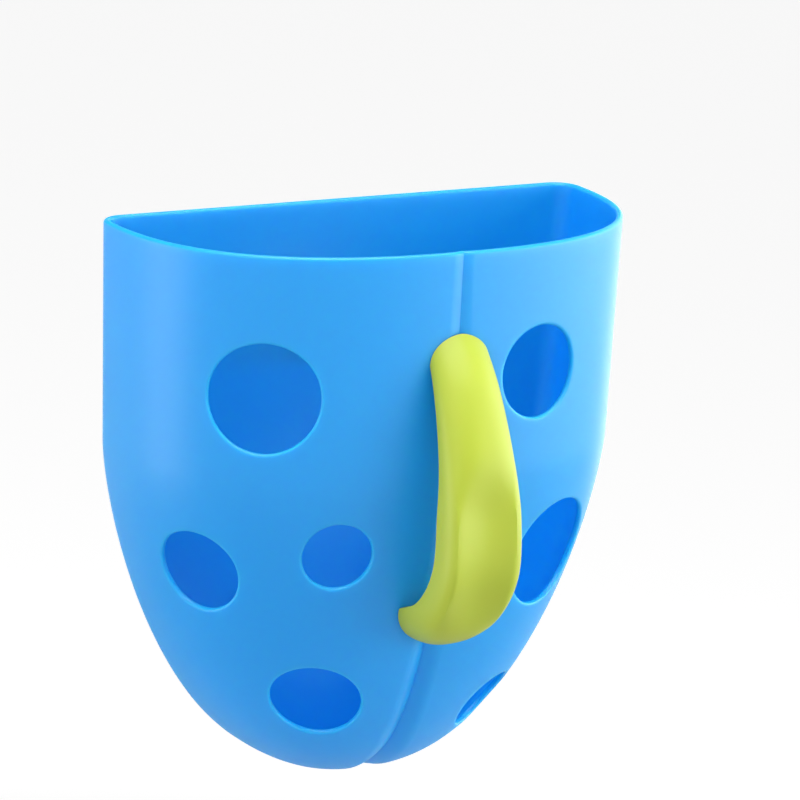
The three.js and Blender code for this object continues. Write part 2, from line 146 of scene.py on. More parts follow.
class Tree:
    """A Geometry Nodes tree with named inputs, built node by node."""

    def __init__(self, name: str) -> None:
        """Starts a tree that takes and gives one geometry.

        Args:
            name: The tree's name.
        """
        self.group = bpy.data.node_groups.new(name, "GeometryNodeTree")
        self.identifiers: dict[str, str] = {}
        self.group.interface.new_socket("Geometry", in_out="OUTPUT", socket_type="NodeSocketGeometry")
        self.group.interface.new_socket("Geometry", in_out="INPUT", socket_type="NodeSocketGeometry")
        self.start = self.group.nodes.new("NodeGroupInput")

    def add_input(self, name: str, kind: str) -> bpy.types.NodeSocket:
        """Adds a named input.

        Args:
            name: The input's name.
            kind: Float, Int, Object or Material.

        Returns:
            The socket that carries the input inside the tree.
        """
        made = self.group.interface.new_socket(name, in_out="INPUT", socket_type=f"NodeSocket{kind}")
        self.identifiers[name] = made.identifier
        return next(s for s in self.start.outputs if s.identifier == made.identifier)

    def number(self, name: str, kind: str = "Float") -> Value:
        """Adds a named number input and gives it as a value."""
        return Value(self, self.add_input(name, kind))

    def node(self, kind: str, **settings: str) -> bpy.types.Node:
        """Adds a node and sets its own options.

        Args:
            kind: The node's type name.
            **settings: Its properties.

        Returns:
            The node.
        """
        made = self.group.nodes.new(kind)
        for key, value in settings.items():
            setattr(made, key, value)
        return made

    def feed(self, socket: bpy.types.NodeSocket, value: object) -> None:
        """Gives an input what it works on.

        Args:
            socket: The input.
            value: A value or another socket, which is linked, or a constant.
        """
        if isinstance(value, Value):
            self.group.links.new(value.socket, socket)
        elif isinstance(value, bpy.types.NodeSocket):
            self.group.links.new(value, socket)
        else:
            socket.default_value = value

    def math(self, operation: str, first: "Value | float", second: "Value | float" = 0.0) -> Value:
        """Adds a Math node.

        Args:
            operation: What it does.
            first: Its first number.
            second: Its second number, where it takes two.

        Returns:
            Its result.
        """
        made = self.node("ShaderNodeMath", operation=operation)
        self.feed(made.inputs[0], first)
        self.feed(made.inputs[1], second)
        return Value(self, made.outputs[0])

    def finish(self, geometry: bpy.types.NodeSocket, sharp_degrees: float) -> None:
        """Shades smooth but for sharp edges, realizes instances, sets the material and ends the tree.

        Args:
            geometry: What the tree has made.
            sharp_degrees: Edges that turn more than this stay sharp.
        """
        angle = self.node("GeometryNodeInputMeshEdgeAngle")
        sharp = self.node("FunctionNodeCompare", operation="GREATER_THAN", data_type="FLOAT")
        self.feed(sharp.inputs["A"], angle.outputs["Unsigned Angle"])
        self.feed(sharp.inputs["B"], math.radians(sharp_degrees))
        faces = self.node("GeometryNodeSetShadeSmooth", domain="FACE")
        edges = self.node("GeometryNodeSetShadeSmooth", domain="EDGE")
        real = self.node("GeometryNodeRealizeInstances")
        dress = self.node("GeometryNodeSetMaterial")
        end = self.node("NodeGroupOutput")
        self.feed(real.inputs["Geometry"], geometry)
        self.feed(faces.inputs["Geometry"], real.outputs["Geometry"])
        self.feed(faces.inputs["Shade Smooth"], True)
        self.feed(edges.inputs["Geometry"], faces.outputs["Geometry"])
        self.feed(edges.inputs["Selection"], sharp.outputs["Result"])
        self.feed(edges.inputs["Shade Smooth"], False)
        self.feed(dress.inputs["Geometry"], edges.outputs["Geometry"])
        self.feed(dress.inputs["Material"], self.add_input("Finish", "Material"))
        self.feed(end.inputs["Geometry"], dress.outputs["Geometry"])

    def apply(self, name: str, base: bpy.types.Object, **inputs: object) -> bpy.types.Object:
        """Runs the tree on an object and keeps the result as a plain mesh.

        Args:
            name: The new object's name.
            base: The object that the tree starts from, which is removed.
            **inputs: The tree's inputs, with underscores for spaces.

        Returns:
            An object at the origin that holds the result.
        """
        modifier = base.modifiers.new(self.group.name, "NODES")
        modifier.node_group = self.group
        for key, value in inputs.items():
            modifier[self.identifiers[key.replace("_", " ")]] = value
        return plain_copy(name, base)


def fitted_tree() -> Tree:
    """Tree that joins one object to the mesh and cuts another from it.

    Returns:
        The tree, with the inputs Add, Cut and Finish.
    """
    tree = Tree("fitted_body")
    result = tree.start.outputs["Geometry"]
    for name, solver, socket in (("Add", Solver.JOIN, "Mesh 2"), ("Cut", Solver.CUT, "Mesh 1")):
        info = tree.node("GeometryNodeObjectInfo")
        step = tree.node("GeometryNodeMeshBoolean", operation=solver.value, solver="MANIFOLD")
        tree.feed(info.inputs["Object"], tree.add_input(name, "Object"))
        tree.feed(step.inputs[socket], result)
        tree.feed(step.inputs["Mesh 2"], info.outputs["Geometry"])
        result = step.outputs["Mesh"]
    tree.finish(result, SHARP_DEGREES)
    return tree


def repeated_tree() -> Tree:
    """Tree that sets one part on every point of the mesh, turned along the point's direction.

    Returns:
        The tree, with the inputs Part, Size and Finish.
    """
    tree = Tree("repeated_part")
    info = tree.node("GeometryNodeObjectInfo")
    along = tree.node("GeometryNodeInputNamedAttribute", data_type="FLOAT_VECTOR")
    turn = tree.node("FunctionNodeAlignRotationToVector", axis="Z")
    copies = tree.node("GeometryNodeInstanceOnPoints")
    tree.feed(info.inputs["Object"], tree.add_input("Part", "Object"))
    tree.feed(along.inputs["Name"], "direction")
    tree.feed(turn.inputs["Vector"], along.outputs["Attribute"])
    tree.feed(copies.inputs["Points"], tree.start.outputs["Geometry"])
    tree.feed(copies.inputs["Instance"], info.outputs["Geometry"])
    tree.feed(copies.inputs["Rotation"], turn.outputs["Rotation"])
    tree.feed(copies.inputs["Scale"], tree.number("Size"))
    tree.finish(copies.outputs["Instances"], SHARP_DEGREES)
    return tree


def section_tree() -> Tree:
    """Tree that sweeps an arched section along a spine, by the section's rule.

    The spine is a line of points that carry half_width, depth, square, dish, full and rise.
    Each ring is a round of angles: above the edge the arch, and below it the flat finger side.

    Returns:
        The tree, with its sizes as named inputs.
    """
    tree = Tree("arched_section")
    spine = tree.start.outputs["Geometry"]
    rings = tree.number("Rings", "Int")
    arc_points = tree.number("Arc Points", "Int")
    edge = tree.number("Edge")
    low_square = tree.number("Low Square")
    dish_half_width = tree.number("Dish Half Width")
    dish_shift = tree.number("Dish Shift")
    dish_power = tree.number("Dish Power")
    grid = tree.node("GeometryNodeMeshGrid")
    tree.feed(grid.inputs["Vertices X"], rings)
    tree.feed(grid.inputs["Vertices Y"], arc_points)
    index = Value(tree, tree.node("GeometryNodeInputIndex").outputs[0])
    ring = tree.math("FLOOR", (index + 0.5) / arc_points)
    column = index - ring * arc_points
    angle = column / (arc_points - 1.0) * TURN

    def sampled(source: bpy.types.NodeSocket, kind: str) -> Value:
        """Reads a field of the spine at this ring.

        Args:
            source: The field.
            kind: Its data type.

        Returns:
            What it is there.
        """
        sample = tree.node("GeometryNodeSampleIndex", data_type=kind, domain="POINT")
        tree.feed(sample.inputs["Geometry"], spine)
        tree.feed(sample.inputs["Value"], source)
        tree.feed(sample.inputs["Index"], ring)
        return Value(tree, sample.outputs["Value"])

    def along(name: str, kind: str = "FLOAT") -> Value:
        """Reads one of the spine's stored values at this ring.

        Args:
            name: The value's name.
            kind: Its data type.

        Returns:
            What it is there.
        """
        stored = tree.node("GeometryNodeInputNamedAttribute", data_type=kind)
        tree.feed(stored.inputs["Name"], name)
        return sampled(stored.outputs["Attribute"], kind)

    cosine = tree.math("COSINE", angle)
    sine = tree.math("SINE", angle)
    is_arch = tree.math("GREATER_THAN", sine, 0.0)
    square = low_square + (along("square") - low_square) * is_arch
    reach = (tree.math("ABSOLUTE", cosine) ** square + tree.math("ABSOLUTE", sine) ** square) ** (
        tree.math("DIVIDE", -1.0, square))
    height = edge + (along("depth") - edge * 2.0) * is_arch
    across = along("half_width") * reach * cosine
    off = (across - dish_shift) / dish_half_width
    near = tree.math("MAXIMUM", tree.math("SUBTRACT", 1.0, off * off), 0.0)
    hollow = along("dish") * near ** dish_power * is_arch
    full = along("full")
    rise = (edge + height * reach * sine - hollow) * full
    lifted = tree.node("ShaderNodeVectorMath", operation="SCALE")
    tree.feed(lifted.inputs[0], along("rise", "FLOAT_VECTOR"))
    tree.feed(lifted.inputs["Scale"], rise)
    sideways = tree.node("ShaderNodeCombineXYZ")
    tree.feed(sideways.inputs["X"], across * full)
    place = sampled(tree.node("GeometryNodeInputPosition").outputs[0], "FLOAT_VECTOR").socket
    for shift in (lifted, sideways):
        total = tree.node("ShaderNodeVectorMath", operation="ADD")
        tree.feed(total.inputs[0], place)
        tree.feed(total.inputs[1], shift.outputs["Vector"])
        place = total.outputs["Vector"]
    moved = tree.node("GeometryNodeSetPosition")
    tree.feed(moved.inputs["Geometry"], grid.outputs["Mesh"])
    tree.feed(moved.inputs["Position"], place)
    closed = tree.node("GeometryNodeMergeByDistance")
    tree.feed(closed.inputs["Geometry"], moved.outputs["Geometry"])
    tree.feed(closed.inputs["Distance"], SEAM_DISTANCE)
    tree.finish(closed.outputs["Geometry"], SWEEP_SHARP_DEGREES)
    return tree


# Meshes


def new_object(name: str, data: bpy.types.ID) -> bpy.types.Object:
    """Puts a mesh, a lamp or a camera into the scene.

    Args:
        name: The object's name.
        data: What it shows.

    Returns:
        The object, at the origin.
    """
    made = bpy.data.objects.new(name, data)
    bpy.context.scene.collection.objects.link(made)
    return made


def evaluated_mesh(base: bpy.types.Object) -> bpy.types.Mesh:
    """Copies an object's mesh as its modifiers leave it.

    Args:
        base: The object with its modifiers.

    Returns:
        The plain mesh.
    """
    bpy.context.view_layer.update()
    evaluated = base.evaluated_get(bpy.context.evaluated_depsgraph_get())
    return bpy.data.meshes.new_from_object(evaluated)


def plain_copy(name: str, base: bpy.types.Object) -> bpy.types.Object:
    """Turns an object with modifiers into a plain mesh.

    Args:
        name: The new object's name.
        base: The object with its modifiers, which is removed.

    Returns:
        The plain object.
    """
    mesh = evaluated_mesh(base)
    mesh.name = name
    bpy.data.objects.remove(base)
    return new_object(name, mesh)


@contextmanager
def edited(mesh: bpy.types.Mesh) -> Iterator[bmesh.types.BMesh]:
    """Opens a mesh for changes and writes them back.

    Args:
        mesh: The mesh.

    Yields:
        What the changes are made on.
    """
    work = bmesh.new()
    work.from_mesh(mesh)
    yield work
    work.to_mesh(mesh)
    work.free()


def turn_outwards(work: bmesh.types.BMesh) -> None:
    """Turns the faces of a closed mesh outwards.

    Args:
        work: The mesh, open for changes.
    """
    bmesh.ops.recalc_face_normals(work, faces=work.faces)
    if work.calc_volume(signed=True) < 0:
        bmesh.ops.reverse_faces(work, faces=work.faces)


def outward_mesh(name: str, points: Iterable[Sequence[float]], faces: Iterable[Face]) -> bpy.types.Mesh:
    """Makes a closed mesh whose faces point outwards.

    Args:
        name: The mesh's name.
        points: Its vertices.
        faces: Its faces.

    Returns:
        The mesh, smooth, with doubles merged.
    """
    mesh = bpy.data.meshes.new(name)
    mesh.from_pydata([tuple(p) for p in points], [], [tuple(f) for f in faces])
    with edited(mesh) as work:
        bmesh.ops.remove_doubles(work, verts=work.verts, dist=DOUBLES_DISTANCE)
        turn_outwards(work)
        for face in work.faces:
            face.smooth = True
    return mesh


def band_faces(before: int, after: int, size: int) -> list[Face]:
    """Quads between two closed rings of points.

    Args:
        before: The index of the first ring's first point.
        after: The index of the second ring's first point.
        size: How many points a ring has.

    Returns:
        The quads.
    """
    steps = [(column, (column + 1) % size) for column in range(size)]
    return [(before + this, before + later, after + later, after + this) for this, later in steps]


def ring_faces(first: int, rows: int, size: int) -> list[Face]:
    """Quads between closed rings of points that follow one another.

    Args:
        first: The index of the first ring's first point.
        rows: How many rings there are.
        size: How many points a ring has.

    Returns:
        The quads.
    """
    starts = [first + row * size for row in range(rows)]
    return [face for pair in zip(starts, starts[1:]) for face in band_faces(*pair, size)]


def filled_between(outline: list[Vector], hollow: list[Vector], names: list[int]) -> list[list[int]]:
    """Even triangles between an outline and the round hollow inside it.

    Args:
        outline: The outline's points.
        hollow: The hollow's points.
        names: The mesh's indices of the outline's points and then the hollow's.

    Returns:
        The triangles.
    """
    size, count = len(outline), len(outline) + len(hollow)
    edges = [(i, (i + 1) % size) for i in range(size)]
    edges += [(i, size if i + 1 == count else i + 1) for i in range(size, count)]
    filled = delaunay_2d_cdt(outline + hollow, edges, [], FILL_INSIDE, FILL_TOLERANCE)
    triangles, sources = filled[2:4]
    whole = [[sources[i][0] for i in triangle] for triangle in triangles]
    return [[names[i] for i in triangle] for triangle in whole if min(triangle) < size]


def revolved(name: str, profile: Sequence[Pair], segments: int) -> bpy.types.Object:
    """Solid of revolution about +Z.

    Args:
        name: The object's name.
        profile: Radius and height, from the axis back to the axis.
        segments: Steps round the axis.

    Returns:
        The object.
    """
    angles = np.linspace(0, TURN, segments, endpoint=False)
    inner = profile[1:-1]
    points = [(r * math.cos(a), r * math.sin(a), z) for r, z in inner for a in angles]
    faces = ring_faces(0, len(inner), segments)
    low, high = len(points), len(points) + 1
    points += [(0.0, 0.0, profile[0][1]), (0.0, 0.0, profile[-1][1])]
    last = (len(inner) - 1) * segments
    for column in range(segments):
        after = (column + 1) % segments
        faces.append((low, after, column))
        faces.append((high, last + column, last + after))
    return new_object(name, outward_mesh(name, points, faces))


def rounded_profile(corners: Sequence[tuple[float, float, float]], steps: int = 4) -> list[Pair]:
    """Rounds the corners of a profile with short curves.

    Args:
        corners: Radius, height and rounding of each corner.
        steps: Steps of each curve.

    Returns:
        The profile's points.
    """
    result: list[Pair] = []
    for place, (x, y, rounding) in enumerate(corners):
        if rounding <= 0 or place in (0, len(corners) - 1):
            result.append((x, y))
            continue
        here = Vector((x, y))
        before = Vector(corners[place - 1][:2]) - here
        after = Vector(corners[place + 1][:2]) - here
        reach = min(rounding, before.length / 2, after.length / 2)
        start, end = here + before.normalized() * reach, here + after.normalized() * reach
        for step in range(steps + 1):
            share = step / steps
            point = start.lerp(here, share).lerp(here.lerp(end, share), share)
            result.append((point.x, point.y))
    return result


def prism(name: str, outline: Sequence[Pair], back: float, front: float) -> bpy.types.Object:
    """Upright solid whose x and z follow an outline, between two depths in y.

    Args:
        name: The object's name.
        outline: x and z of its corners, in order.
        back: y of its back face.
        front: y of its front face.

    Returns:
        The object.
    """
    size = len(outline)
    points = [(x, y, z) for y in (back, front) for x, z in outline]
    faces = [tuple(range(size)), tuple(range(size, 2 * size)), *ring_faces(0, 2, size)]
    return new_object(name, outward_mesh(name, points, faces))


def rounded_outline(low: Pair, high: Pair, radii: Sequence[float] = (0, 0, 0, 0),
                    steps: int = 10) -> list[Pair]:
    """Rectangle in x and z, with rounded corners where it has radii.

    Args:
        low: Lowest x and z.
        high: Highest x and z.
        radii: Radii at the low left, low right, high right and high left.
        steps: Steps of each arc.

    Returns:
        The outline's points.
    """
    corners = ((low[0], low[1], 1, 1), (high[0], low[1], -1, 1), (high[0], high[1], -1, -1),
               (low[0], high[1], 1, -1))
    points = []
    for quarter, ((x, z, inward_x, inward_z), radius) in enumerate(zip(corners, radii)):
        if radius <= 0:
            points.append((x, z))
            continue
        for step in range(steps + 1):
            angle = math.pi + (quarter + step / steps) * QUARTER
            points.append((x + inward_x * radius + radius * math.cos(angle),
                           z + inward_z * radius + radius * math.sin(angle)))
    return points


def circle_outline(x: float, z: float, radius: float, steps: int = 48) -> list[Pair]:
    """Circle in x and z as an outline."""
    angles = [TURN * step / steps for step in range(steps)]
    return [(x + radius * math.cos(angle), z + radius * math.sin(angle)) for angle in angles]


def joined(name: str, pieces: Sequence[bpy.types.Object]) -> bpy.types.Object:
    """Puts separate closed meshes into one object.

    Args:
        name: The new object's name.
        pieces: The objects, which are removed.

    Returns:
        The object.
    """
    work = bmesh.new()
    for piece in pieces:
        work.from_mesh(piece.data)
        bpy.data.objects.remove(piece)
    mesh = bpy.data.meshes.new(name)
    work.to_mesh(mesh)
    work.free()
    return new_object(name, mesh)


def boolean(base: bpy.types.Object, other: bpy.types.Object, solver: Solver) -> None:
    """Joins an object to a base or cuts it from the base.

    Args:
        base: The object that changes.
        other: The object that is joined or cuts, which is removed.
        solver: Which of the two is done.
    """
    modifier = base.modifiers.new(solver.name, "BOOLEAN")
    modifier.operation = solver.value
    modifier.solver = "EXACT"
    modifier.object = other
    mesh = evaluated_mesh(base)
    base.modifiers.clear()
    base.data = mesh
    bpy.data.objects.remove(other)


@dataclass(frozen=True)
class Softening:
    """How the hard edges of a moulded block are rounded."""

    width: float = 0.5 * MM
    segments: int = 3
    doubles: float = 0.005 * MM
    flat_degrees: float = 1
    hard_degrees: float = 40
    sharp_degrees: float = 35

    def apply(self, name: str, base: bpy.types.Object) -> bpy.types.Object:
        """Cleans an object's flat faces and rounds its hard edges.

        Args:
            name: The new object's name.
            base: The object, which is removed.

        Returns:
            The rounded object.
        """
        with edited(base.data) as work:
            bmesh.ops.remove_doubles(work, verts=work.verts, dist=self.doubles)
            bmesh.ops.dissolve_limit(work, angle_limit=math.radians(self.flat_degrees), verts=work.verts,
                                     edges=work.edges)
        bevel = base.modifiers.new("rounding", "BEVEL")
        bevel.width = self.width
        bevel.segments = self.segments
        bevel.limit_method = "ANGLE"
        bevel.angle_limit = math.radians(self.hard_degrees)
        bevel.use_clamp_overlap = True
        made = plain_copy(name, base)
        made.data.shade_smooth()
        made.data.set_sharp_from_angle(angle=math.radians(self.sharp_degrees))
        return made


def repeated(name: str, part: bpy.types.Object, places: Sequence[Vector], directions: Sequence[Vector],
             finish: bpy.types.Material) -> bpy.types.Object:
    """Sets one part on each of several places.

    Args:
        name: The new object's name.
        part: The part, standing along +Z, which is removed.
        places: Where it goes.
        directions: Which way it faces at each place.
        finish: Its material.

    Returns:
        One plain object that holds them all.
    """
    mesh = bpy.data.meshes.new(f"{name}_places")
    mesh.from_pydata([tuple(p) for p in places], [], [])
    stored = mesh.attributes.new("direction", "FLOAT_VECTOR", "POINT")
    stored.data.foreach_set("vector", np.array(directions, np.float32).ravel())
    holder = new_object(f"{name}_places", mesh)
    made = repeated_tree().apply(name, holder, Part=part, Size=1.0, Finish=finish)
    bpy.data.objects.remove(part)
    return made


# Finishes


class Dressing:
    """A material in the making: its shader, and patterns on Object coordinates that feed it."""

    def __init__(self, name: str, color: Color) -> None:
        """Starts a material of one plain colour.

        Args:
            name: The material's name.
            color: Its colour.
        """
        self.material = bpy.data.materials.new(name)
        self.material.use_nodes = True
        self.material.diffuse_color = (*color, 1)
        self.nodes = self.material.node_tree.nodes
        self.links = self.material.node_tree.links
        self.shader = self.nodes["Principled BSDF"]
        self.place = self.nodes.new("ShaderNodeTexCoord")
        self.set(self.shader, Base_Color=(*color, 1))

    @staticmethod
    def set(node: bpy.types.Node, **values: object) -> None:
        """Sets a node's inputs by name, with underscores for spaces."""
        for key, value in values.items():
            node.inputs[key.replace("_", " ")].default_value = value

    def noise(self, scale: float, detail: float = 2) -> bpy.types.NodeSocket:
        """Adds a noise pattern.

        Args:
            scale: How fine it is.
            detail: How many finer layers it has.

        Returns:
            Its strength from place to place.
        """
        made = self.nodes.new("ShaderNodeTexNoise")
        self.set(made, Scale=scale, Detail=detail)
        self.links.new(self.place.outputs["Object"], made.inputs["Vector"])
        return made.outputs["Fac"]

    def vary_color(self, pattern: bpy.types.NodeSocket, deep: Color, color: Color) -> None:
        """Lets the colour drift between two tones.

        Args:
            pattern: What it follows.
            deep: The tone where the pattern is weak.
            color: The tone where it is strong.
        """
        made = self.nodes.new("ShaderNodeMix")
        made.data_type = "RGBA"
        self.set(made, A=(*deep, 1), B=(*color, 1))
        self.links.new(pattern, made.inputs["Factor"])
        self.links.new(made.outputs["Result"], self.shader.inputs["Base Color"])

    def vary_roughness(self, pattern: bpy.types.NodeSocket, smooth: float, rough: float) -> None:
        """Lets the roughness follow a pattern.

        Args:
            pattern: What it follows.
            smooth: The roughness where the pattern is weak.
            rough: The roughness where it is strong.
        """
        made = self.nodes.new("ShaderNodeMapRange")
        self.set(made, To_Min=smooth, To_Max=rough)
        self.links.new(pattern, made.inputs["Value"])
        self.links.new(made.outputs["Result"], self.shader.inputs["Roughness"])

    def emboss(self, pattern: bpy.types.NodeSocket, strength: float, depth: float) -> None:
        """Presses a pattern lightly into the surface.

        Args:
            pattern: What it follows.
            strength: How strongly light shows it.
            depth: Its depth.
        """
        made = self.nodes.new("ShaderNodeBump")
        self.set(made, Strength=strength, Distance=depth)
        self.links.new(pattern, made.inputs["Height"])
        self.links.new(made.outputs["Normal"], self.shader.inputs["Normal"])


@dataclass(frozen=True)
class PlasticFinish:
    """Moulded plastic with a fine skin, a slow drift of tone and a soft sheen."""

    name: str
    color: Color
    deep: Color
    roughness: float
    roughness_spread: float
    grain: float
    subsurface: float
    subsurface_radius: Color = (0.15, 0.8, 1.0)
    subsurface_scale: float = 10 * MM
    specular: float = 0.5
    drift: float = 9
    grain_layers: float = 3
    grain_strength: float = 0.35
    grain_depth: float = 0.015 * MM

    def build(self) -> bpy.types.Material:
        """Makes the material.

        Returns:
            The material, on Object coordinates.
        """
        made = Dressing(self.name, self.color)
        made.vary_color(made.noise(self.drift), self.deep, self.color)
        skin = made.noise(self.grain, self.grain_layers)
        spread = self.roughness_spread
        made.vary_roughness(skin, self.roughness - spread, self.roughness + spread)
        made.emboss(skin, self.grain_strength, self.grain_depth)
        made.set(made.shader, Specular_IOR_Level=self.specular, Subsurface_Weight=self.subsurface,
                 Subsurface_Radius=self.subsurface_radius, Subsurface_Scale=self.subsurface_scale)
        return made.material


@dataclass(frozen=True)
class ClearFinish:
    """Soft clear plastic with a slight tint and a slow haze."""

    name: str
    color: Color
    roughness: float
    transmission: float
    haze: float = 60
    haziest: float = 2
    ior: float = 1.45

    def build(self) -> bpy.types.Material:
        """Makes the material.

        Returns:
            The material, on Object coordinates.
        """
        made = Dressing(self.name, self.color)
        made.vary_roughness(made.noise(self.haze), self.roughness, self.haziest * self.roughness)
        made.set(made.shader, IOR=self.ior, Transmission_Weight=self.transmission)
        return made.material


@dataclass(frozen=True)
class SteelFinish:
    """Stainless steel with fine tumbling marks."""

    name: str
    color: Color
    roughness: float
    marks: float = 2400
    mark_strength: float = 0.2
    mark_depth: float = 0.02 * MM

    def build(self) -> bpy.types.Material:
        """Makes the material.

        Returns:
            The material, on Object coordinates.
        """
        made = Dressing(self.name, self.color)
        made.emboss(made.noise(self.marks), self.mark_strength, self.mark_depth)
        made.set(made.shader, Metallic=1, Roughness=self.roughness)
        return made.material


# Scoop shell


@dataclass(frozen=True)
class RoundHole:
    """An opening: place across the half width, place up the height, diameter, and oval with its turn."""

    across_share: float
    up_share: float
    diameter: float
    oval: float = 1.0
    oval_degrees: float = 0.0


@dataclass(frozen=True)
class HoleFrame:
    """Where an opening is: its centre, its axis and two directions across it, scaled by its oval."""

    centre: Points
    axis: Points
    right: Points
    up: Points
    radius: float
    column: float
    height: float

    def local(self, points: Points) -> Points:
        """Places of points across the opening and along its axis."""
        away = points - self.centre
        return np.stack([away @ self.right, away @ self.up, away @ self.axis], -1)


@dataclass
class Scoop:
    """The shell's sizes, the rule of its skin, and its mesh.

    The skin's own frame has its back on y = 0 and its lowest point at z = 0. A column is 0 at the
    middle of the front, 1 where the front meets the back corner and 2 at the middle of the back,
    and it is negative on the -X side.
    """

    finish: bpy.types.Material
    width: float = 250 * MM
    depth: float = 116 * MM
    height: float = 268 * MM
    wall: float = 3 * MM
    curve_height: float = 165 * MM
    back_corner: float = 12 * MM
    heel: float = 8 * MM
    side_entry: float = 1.5
    side_tip: float = 2.34
    front_entry: float = 1.38
    front_tip: float = 3.6
    plan_side: float = 2.4
    plan_front: float = 2.5
    side_draft: float = 0.06
    corner_limit: float = 0.45
    groove_top_depth: float = 1 * MM
    groove_bottom_depth: float = 4.2 * MM
    groove_top_half_width: float = 5.5 * MM
    groove_bottom_half_width: float = 10.5 * MM
    groove_limit: float = 0.42
    groove_border: float = 1.5
    groove_column: float = 0.2
    corner_column: float = 1.2
    slope_step: float = 0.5 * MM
    slope_turn: float = 0.004
    probe: float = 1 * MM
    lowest_row: float = 0.427 * MM
    row_power: float = 2.34
    row_count: int = 130
    groove_columns: int = 22
    front_columns: int = 76
    corner_columns: int = 8
    back_columns: int = 10
    cap_steps: int = 6
    cap_power: float = 1.6
    rim_steps: int = 10
    search_steps: int = 40
    hole_steps: int = 112
    hole_approach: tuple[float, ...] = (0.3, 0.6, 0.85, 1, 1, 1, 1, 1)
    hole_step: float = 0.1 * MM
    hole_turn: float = 0.001
    hole_rounding: float = 1.2 * MM
    hole_arc_steps: int = 4
    hole_flat: float = 1 * MM
    hole_border: float = 2.6 * MM
    hole_clear: float = 1.3 * MM
    hole_reach: float = 10 * MM
    holes: tuple[RoundHole, ...] = (
        RoundHole(-0.694, 0.758, 50.3 * MM),
        RoundHole(-0.81, 0.4375, 39.9 * MM),
        RoundHole(-0.415, 0.4846, 31.8 * MM),
        RoundHole(-0.374, 0.2, 41.5 * MM, 1.08, -44),
        RoundHole(0.362, 0.779, 42.9 * MM),
        RoundHole(0.528, 0.438, 53.2 * MM),
        RoundHole(0.388, 0.148, 33 * MM),
    )
    drain_radius: float = 3 * MM
    drain_reach: float = 12 * MM
    drain_steps: int = 40
    drain_shares: tuple[Pair, ...] = ((0.096, 0.19), (0.096, 0.31), (0.168, 0.25))
    pocket_width: float = 55.6 * MM
    pocket_wall: float = 2.4 * MM
    pocket_roof: float = 3 * MM
    pocket_low: float = -18 * MM
    pocket_high: float = 11.3 * MM
    pocket_back: float = -12.6 * MM
    pocket_corner: float = 3 * MM
    pocket_cut: float = 6 * MM
    bumper_radius: float = 8 * MM
    bumper_wall: float = 2.5 * MM
    bumper_floor: float = 3 * MM
    bumper_edge: float = 0.8 * MM
    bumper_fillet: float = 0.6 * MM
    bumper_steps: int = 48
    bumper_spacing: float = 90 * MM
    bumper_height: float = 76 * MM
    bumper_wall_gap: float = 0.5 * MM
    seat_first_row: int = 18
    points: list[Points] = field(default_factory=list)
    faces: list[Face] = field(default_factory=list)

    def __post_init__(self) -> None:
        """Finds the shell's place from the solid's box."""
        low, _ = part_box("scoop_shell")
        self.place = np.array([0.0, low.y + self.depth, low.z - self.lowest_row])
        self.back_face = float(self.place[1])

    # The rule of the skin

    def half_width_at(self, z: Points) -> Points:
        """Half width of the plain outside.

        Args:
            z: Heights.

        Returns:
            The half width at each.
        """
        below = np.maximum(0, 1 - z / self.curve_height)
        draft = 1 - self.side_draft * (1 - z / self.height)
        return self.width / 2 * (1 - below ** self.side_entry) ** (1 / self.side_tip) * draft

    def depth_at(self, z: Points) -> Points:
        """Depth of the plain outside at a height."""
        below = np.maximum(0, 1 - z / self.curve_height)
        return self.depth * (1 - below ** self.front_entry) ** (1 / self.front_tip)

    def heel_at(self, z: Points) -> Points:
        """How far the back draws in at a height."""
        below = np.maximum(0, 1 - z / self.heel)
        return self.heel * (1 - np.sqrt(1 - below ** 2))

    def corner_at(self, z: Points) -> Points:
        """Radius of the back corners at a height."""
        least = np.minimum(self.half_width_at(z), self.depth_at(z))
        return np.minimum(self.back_corner, self.corner_limit * least)

    def tapered(self, bottom: float, top: float, z: Points) -> Points:
        """A size that changes evenly from the bottom of the shell to its top."""
        share = z / self.height
        return bottom * (1 - share) + top * share

    def groove_half_width_at(self, z: Points) -> Points:
        """Half width of the groove at a height."""
        size = self.tapered(self.groove_bottom_half_width, self.groove_top_half_width, z)
        return np.minimum(size, self.groove_limit * self.half_width_at(z))

    @staticmethod
    def wrapped(column: Points) -> Points:
        """Columns counted from -2 to 2, however far round they go."""
        return (column + 2) % 4 - 2

    def plain_point(self, column: Points, z: Points) -> Points:
        """Points of the plain outside, without the groove.

        Args:
            column: Columns round the skin.
            z: Heights.

        Returns:
            The points, in the shell's own frame.
        """
        column = self.wrapped(column)
        side, at = np.sign(column), np.abs(column)
        half = self.half_width_at(z)
        corner = self.corner_at(z)
        start = self.heel_at(z) + corner
        border = self.groove_border * self.groove_half_width_at(z)
        first = np.arcsin(np.clip(border / half, 0, 1))
        share = np.clip((at - self.groove_column) / (1 - self.groove_column), 0, 1)
        x = np.where(at < self.groove_column, at / self.groove_column * border,
                     half * np.sin(first + share * (QUARTER - first)))
        bulge = (1 - np.clip(x / half, 0, 1) ** self.plan_side) ** (1 / self.plan_front)
        y = -start - (self.depth_at(z) - start) * bulge
        turn = np.clip((at - 1) / (self.corner_column - 1), 0, 1) * QUARTER
        back = np.clip((at - self.corner_column) / (2 - self.corner_column), 0, 1)
        x = np.where(at > 1, (half - corner) * (1 - back) + corner * np.cos(turn), x)
        y = np.where(at > 1, corner * np.sin(turn) - start, y)
        return np.stack([side * x, y, z], -1)

